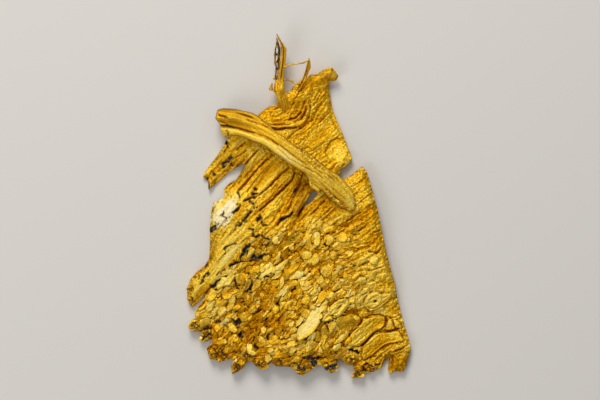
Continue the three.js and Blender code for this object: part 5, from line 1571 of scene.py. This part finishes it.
def lay_flakes(name, outlines, tones, lifts, tilt, dome):
    """One mesh of many flakes, from arrays with a row for each: its outline, how pale it is, its
    lift in mm. They tilt at random by about `tilt` mm a square and bulge by about `dome` mm."""
    count, sides = outlines.shape[:2]
    bpy.ops.object.select_all(action="DESELECT")
    bpy.ops.mesh.primitive_circle_add(vertices=sides, radius=SQUARE, fill_type="NGON")
    heap = bpy.context.object
    heap.name = name
    copies = heap.modifiers.new("copies", "ARRAY")
    copies.count = count
    bpy.ops.object.modifier_apply(modifier=copies.name)
    u, v = outlines.reshape(-1, 2).T
    put_points(heap.data, place(u, v, np.maximum(0.1, look_up(soft_face, u, v) - FLAKE_SUNK)))
    store = heap.data.attributes.new("flake", "FLOAT", "POINT")
    store.data.foreach_set("value", np.repeat(np.arange(count), sides).astype(np.float32))

    middles = outlines.mean(axis=1)
    # The palest flakes lean towards the left and top, where the light comes from.
    tilts = dice.normal(0, tilt, (count, 2)) + 0.5 * (tones[:, None] - MEAN_TONE)
    radii = np.hypot(*(outlines - middles[:, None]).transpose(2, 0, 1)).max(axis=1)
    tilts *= np.minimum(1, FLAKE_RISE / (np.hypot(*tilts.T) * radii))[:, None]
    domes = dice.normal(0.3 * dome, dome, count)

    def owners():
        """Which flake each vertex belongs to."""
        values = np.empty(len(heap.data.vertices), np.float32)
        heap.data.attributes["flake"].data.foreach_get("value", values)
        return np.round(values).astype(int)

    def top_at(u, v, owner):
        """Height in mm of the flakes' rims over u, v."""
        off_u, off_v = u - middles[owner, 0], v - middles[owner, 1]
        lean = tilts[owner, 0] * off_u + tilts[owner, 1] * off_v
        crumple = 0.08 * look_up(fine_streaks, u, v) + 0.09 * look_up(small_height, u, v)
        return look_up(soft_face, u, v) + lifts[owner] + lean + crumple

    bpy.ops.object.mode_set(mode="EDIT")
    bpy.ops.mesh.select_all(action="SELECT")
    before = 1.0
    # Four rings: how far out each lies, mm over the rim, and its share of the flake's bulge.
    for reach, chamfer, bulge in ((1.0, 0, 0), (0.92, 0.07, 0.3), (0.68, 0.08, 0.8), (0.36, 0.08, 1.0)):
        bpy.ops.mesh.extrude_region_move()
        bpy.ops.object.mode_set(mode="OBJECT")
        ring = numbers(heap.data, "select", 1)[:, 0].astype(bool)
        spots = numbers(heap.data, "co", 3)
        owner = owners()
        u, v = grid_squares(spots)
        u = middles[owner, 0] + (u - middles[owner, 0]) * reach / before
        v = middles[owner, 1] + (v - middles[owner, 1]) * reach / before
        z = top_at(u, v, owner) + chamfer + bulge * domes[owner]
        spots[ring] = place(u, v, z)[ring]
        put_points(heap.data, spots)
        before = reach
        bpy.ops.object.mode_set(mode="EDIT")
    bpy.ops.mesh.poke()
    bpy.ops.mesh.select_all(action="SELECT")
    bpy.ops.mesh.normals_make_consistent(inside=False)
    bpy.ops.mesh.quads_convert_to_tris()
    bpy.ops.object.mode_set(mode="OBJECT")
    bpy.ops.object.transform_apply(location=True, rotation=True, scale=True)
    bpy.ops.object.shade_smooth_by_angle(angle=math.radians(24))

    owner = owners()
    z = numbers(heap.data, "co", 3)[:, 2] / MM
    painted_shade_down = 0.035  # a square: painted shade, darker towards the lower right, away from the light

    def down_flake(u, v):
        """Squares from the middle of its flake, towards the lower right."""
        return 0.4 * (u - middles[owner, 0]) + v - middles[owner, 1]

    # Painted shade: each flake gets darker down its walls to its foot and towards its lower right.
    keep_values(
        heap,
        lambda u, v: np.minimum(0.91, tones[owner] + 0.1 * look_up(fine_streaks, u, v)),
        lambda u, v: (1.6 - tones[owner])
        * ((top_at(u, v, owner) - z + 0.16) / 0.5 + painted_shade_down * down_flake(u, v)),
        lambda u, v: look_up(black, u, v) * (0.55 + (top_at(u, v, owner) - z) / 0.8),
    )
    return heap


large = [(pale, outline) for pale, *paths in FLAKES for outline in paths]
outlines = np.array([cut_corners(outline, FLAKE_SIDES) for _, outline in large])
FLAKE_SPREAD = 1.08  # so that neighbours overlap
middles = outlines.mean(axis=1, keepdims=True)
outlines = middles + FLAKE_SPREAD * (outlines - middles)
tones = 0.63 + 0.9 * (np.array([pale for pale, _ in large]) - MEAN_TONE)
lifts = 0.05 + 0.3 * tones + dice.uniform(0, 0.3, len(large))
large_flakes = lay_flakes("leaf_flakes", outlines, tones, lifts, tilt=0.09, dome=0.09)

# Small flakes fill the crust between the large ones, clear of the plates, curls and pits.
SMALL_SIDES = 7
SMALL_MOST = 650
SMALL_TRIES = 12000
MOST_TAKEN = 3.5  # of its corners and its middle, how many may lie where there is no room
taken = (crust < 0.3) | (black > 0.3) | (inside_rim < 0.6)
for outline in [path for _, path in large] + [path for *_, path in PLATES] + CURLS:
    area = around(outline, 2)
    taken[area] |= is_inside(outline, RASTER_U[area], RASTER_V[area])
small_outlines, small_tones = [], []
for _ in range(SMALL_TRIES):
    at_u, at_v = dice.uniform(188, 408), dice.uniform(225, 372)
    long = dice.uniform(2.2, 6.5)
    wide = max(1.2, long * dice.uniform(0.28, 0.6))
    turns = look_up(growth, at_u, at_v) + dice.normal(0, 0.4)
    bearings = np.arange(SMALL_SIDES) * 2 * math.pi / SMALL_SIDES
    out = dice.uniform(0.6, 1.2, SMALL_SIDES)
    along, across = long * out * np.cos(bearings), wide * out * np.sin(bearings)
    u = at_u + along * np.cos(turns) - across * np.sin(turns)
    v = at_v - along * np.sin(turns) - across * np.cos(turns)
    if look_up(taken, [at_u, *u], [at_v, *v]).sum() > MOST_TAKEN:
        continue
    outline = list(zip(u, v))
    area = around(outline, 1)
    taken[area] |= is_inside(outline, RASTER_U[area], RASTER_V[area])
    small_outlines.append(outline)
    small_tones.append(min(0.84, look_up(tone, at_u, at_v) - 0.01 + dice.normal(0, 0.07)))
    if len(small_outlines) == SMALL_MOST:
        break
small_flakes = lay_flakes(
    "small_flakes", np.array(small_outlines), np.array(small_tones),
    dice.uniform(0.0, 0.5, len(small_outlines)), tilt=0.14, dome=0.06,
)
hand_over(join([large_flakes, small_flakes], "leaf_flakes"))

# ---------------------------------------------------------------- nuggets
# Crumpled nuggets of solid gold hang along the bottom edge and a few other edges, partly under
# black iron crust. Each is grown on to the rim of the sheet. Their bulges are painted paler and
# their creases browner and blacker, as painted light and shade; their black is partly crust and
# partly painted shade.

NUGGETS = [
    # u, v, half size in squares, its middle over the face in mm, how pale, how black
    (206, 334, 5.8, -0.4, 0.45, 0.5), (194, 325, 5.6, -0.2, 0.7, 0.1), (214, 352, 6.8, -0.2, 0.35, 0.3),
    (223, 355, 6, -0.6, 0.15, 0.2), (236, 366, 5.6, -0.5, 0.3, 0.25), (246, 356, 5, -0.4, 0.2, 0.5),
    (261, 363, 6, -0.6, 0.45, 0.1), (280, 361, 5.6, -0.7, 0.3, 0.2), (301, 367, 6.6, -0.8, 0.3, 0.8),
    (313, 362, 5, -0.6, 0.3, 1.15), (330, 366, 6.4, -0.9, 0.35, 1.25), (350, 358, 6.8, -0.3, 0.5, 0.1),
    (357, 373, 4.6, -0.2, 0.5, 0.3), (370, 368, 5.4, -0.3, 0.4, 0.4), (191, 299, 4.8, -0.3, 0.5, 0.05),
    (190, 288, 4.4, -0.2, 0.5, 0.05),
]
NUGGET_LOWEST = 1.2  # mm above the table, for its middle
NUGGET_TALLEST = 1.5  # mm from its middle to its top
NUGGET_SQUAT = 0.85  # its reach down the drawing over its reach across
CREASE_WIDE = 0.45

lumps = []
for at_u, at_v, size, over, pale, blackened in NUGGETS:
    bpy.ops.object.select_all(action="DESELECT")
    bpy.ops.mesh.primitive_ico_sphere_add(subdivisions=4, radius=1)
    lump = bpy.context.object
    ball = numbers(lump.data, "co", 3)
    swell = 1.0
    # Large lumps with smaller ones on them: how rough they are, and how many to a nugget's radius.
    for rough, waves in ((0.34, 1.0), (0.22, 2.1)):
        shift = Vector(dice.uniform(-50, 50, 3))
        cells = [noise.voronoi(shift + waves * Vector(spot))[0] for spot in ball]
        # Each lump of a nugget is flat-topped, with a crease where it meets the next.
        crease = np.array([far[1] - far[0] for far in cells])
        swell = swell + rough * (np.minimum(crease, CREASE_WIDE) / CREASE_WIDE - 0.7)
    swell = swell + 0.05 * np.array([noise.noise(7 * Vector(spot) + shift) for spot in ball])
    ball = 0.95 * ball * swell[:, None]
    z = max(NUGGET_LOWEST, level(at_u, at_v) + over) + min(NUGGET_TALLEST, 0.24 * size) * ball[:, 2]
    u, v = at_u + size * ball[:, 0], at_v - NUGGET_SQUAT * size * ball[:, 1]
    put_points(lump.data, place(u, v, np.maximum(z, 0.05)))
    sunk = np.clip((1.0 - swell) / 0.3, 0, 1)
    blotch = np.sin(ball @ dice.normal(0, 3.5, 3) + 2) + 0.6 * np.sin(ball @ dice.normal(0, 8, 3))
    # Painted light and shade: bulges paler, creases browner, and black gathering in the creases.
    keep_values(
        lump,
        lambda u, v: pale + 0.9 * (swell - 1),
        lambda u, v: 0.12 + 0.9 * sunk,
        lambda u, v: step_up(blotch + 2.2 * sunk, 2.0 - 2.6 * blackened, 2.9 - 2.6 * blackened) * (blackened > 0),
    )
    lumps.append(lump)
nuggets = join(lumps, "leaf_nuggets")
bpy.ops.object.transform_apply(location=True, rotation=True, scale=True)
bpy.ops.object.shade_smooth_by_angle(angle=math.radians(40))
hand_over(nuggets)
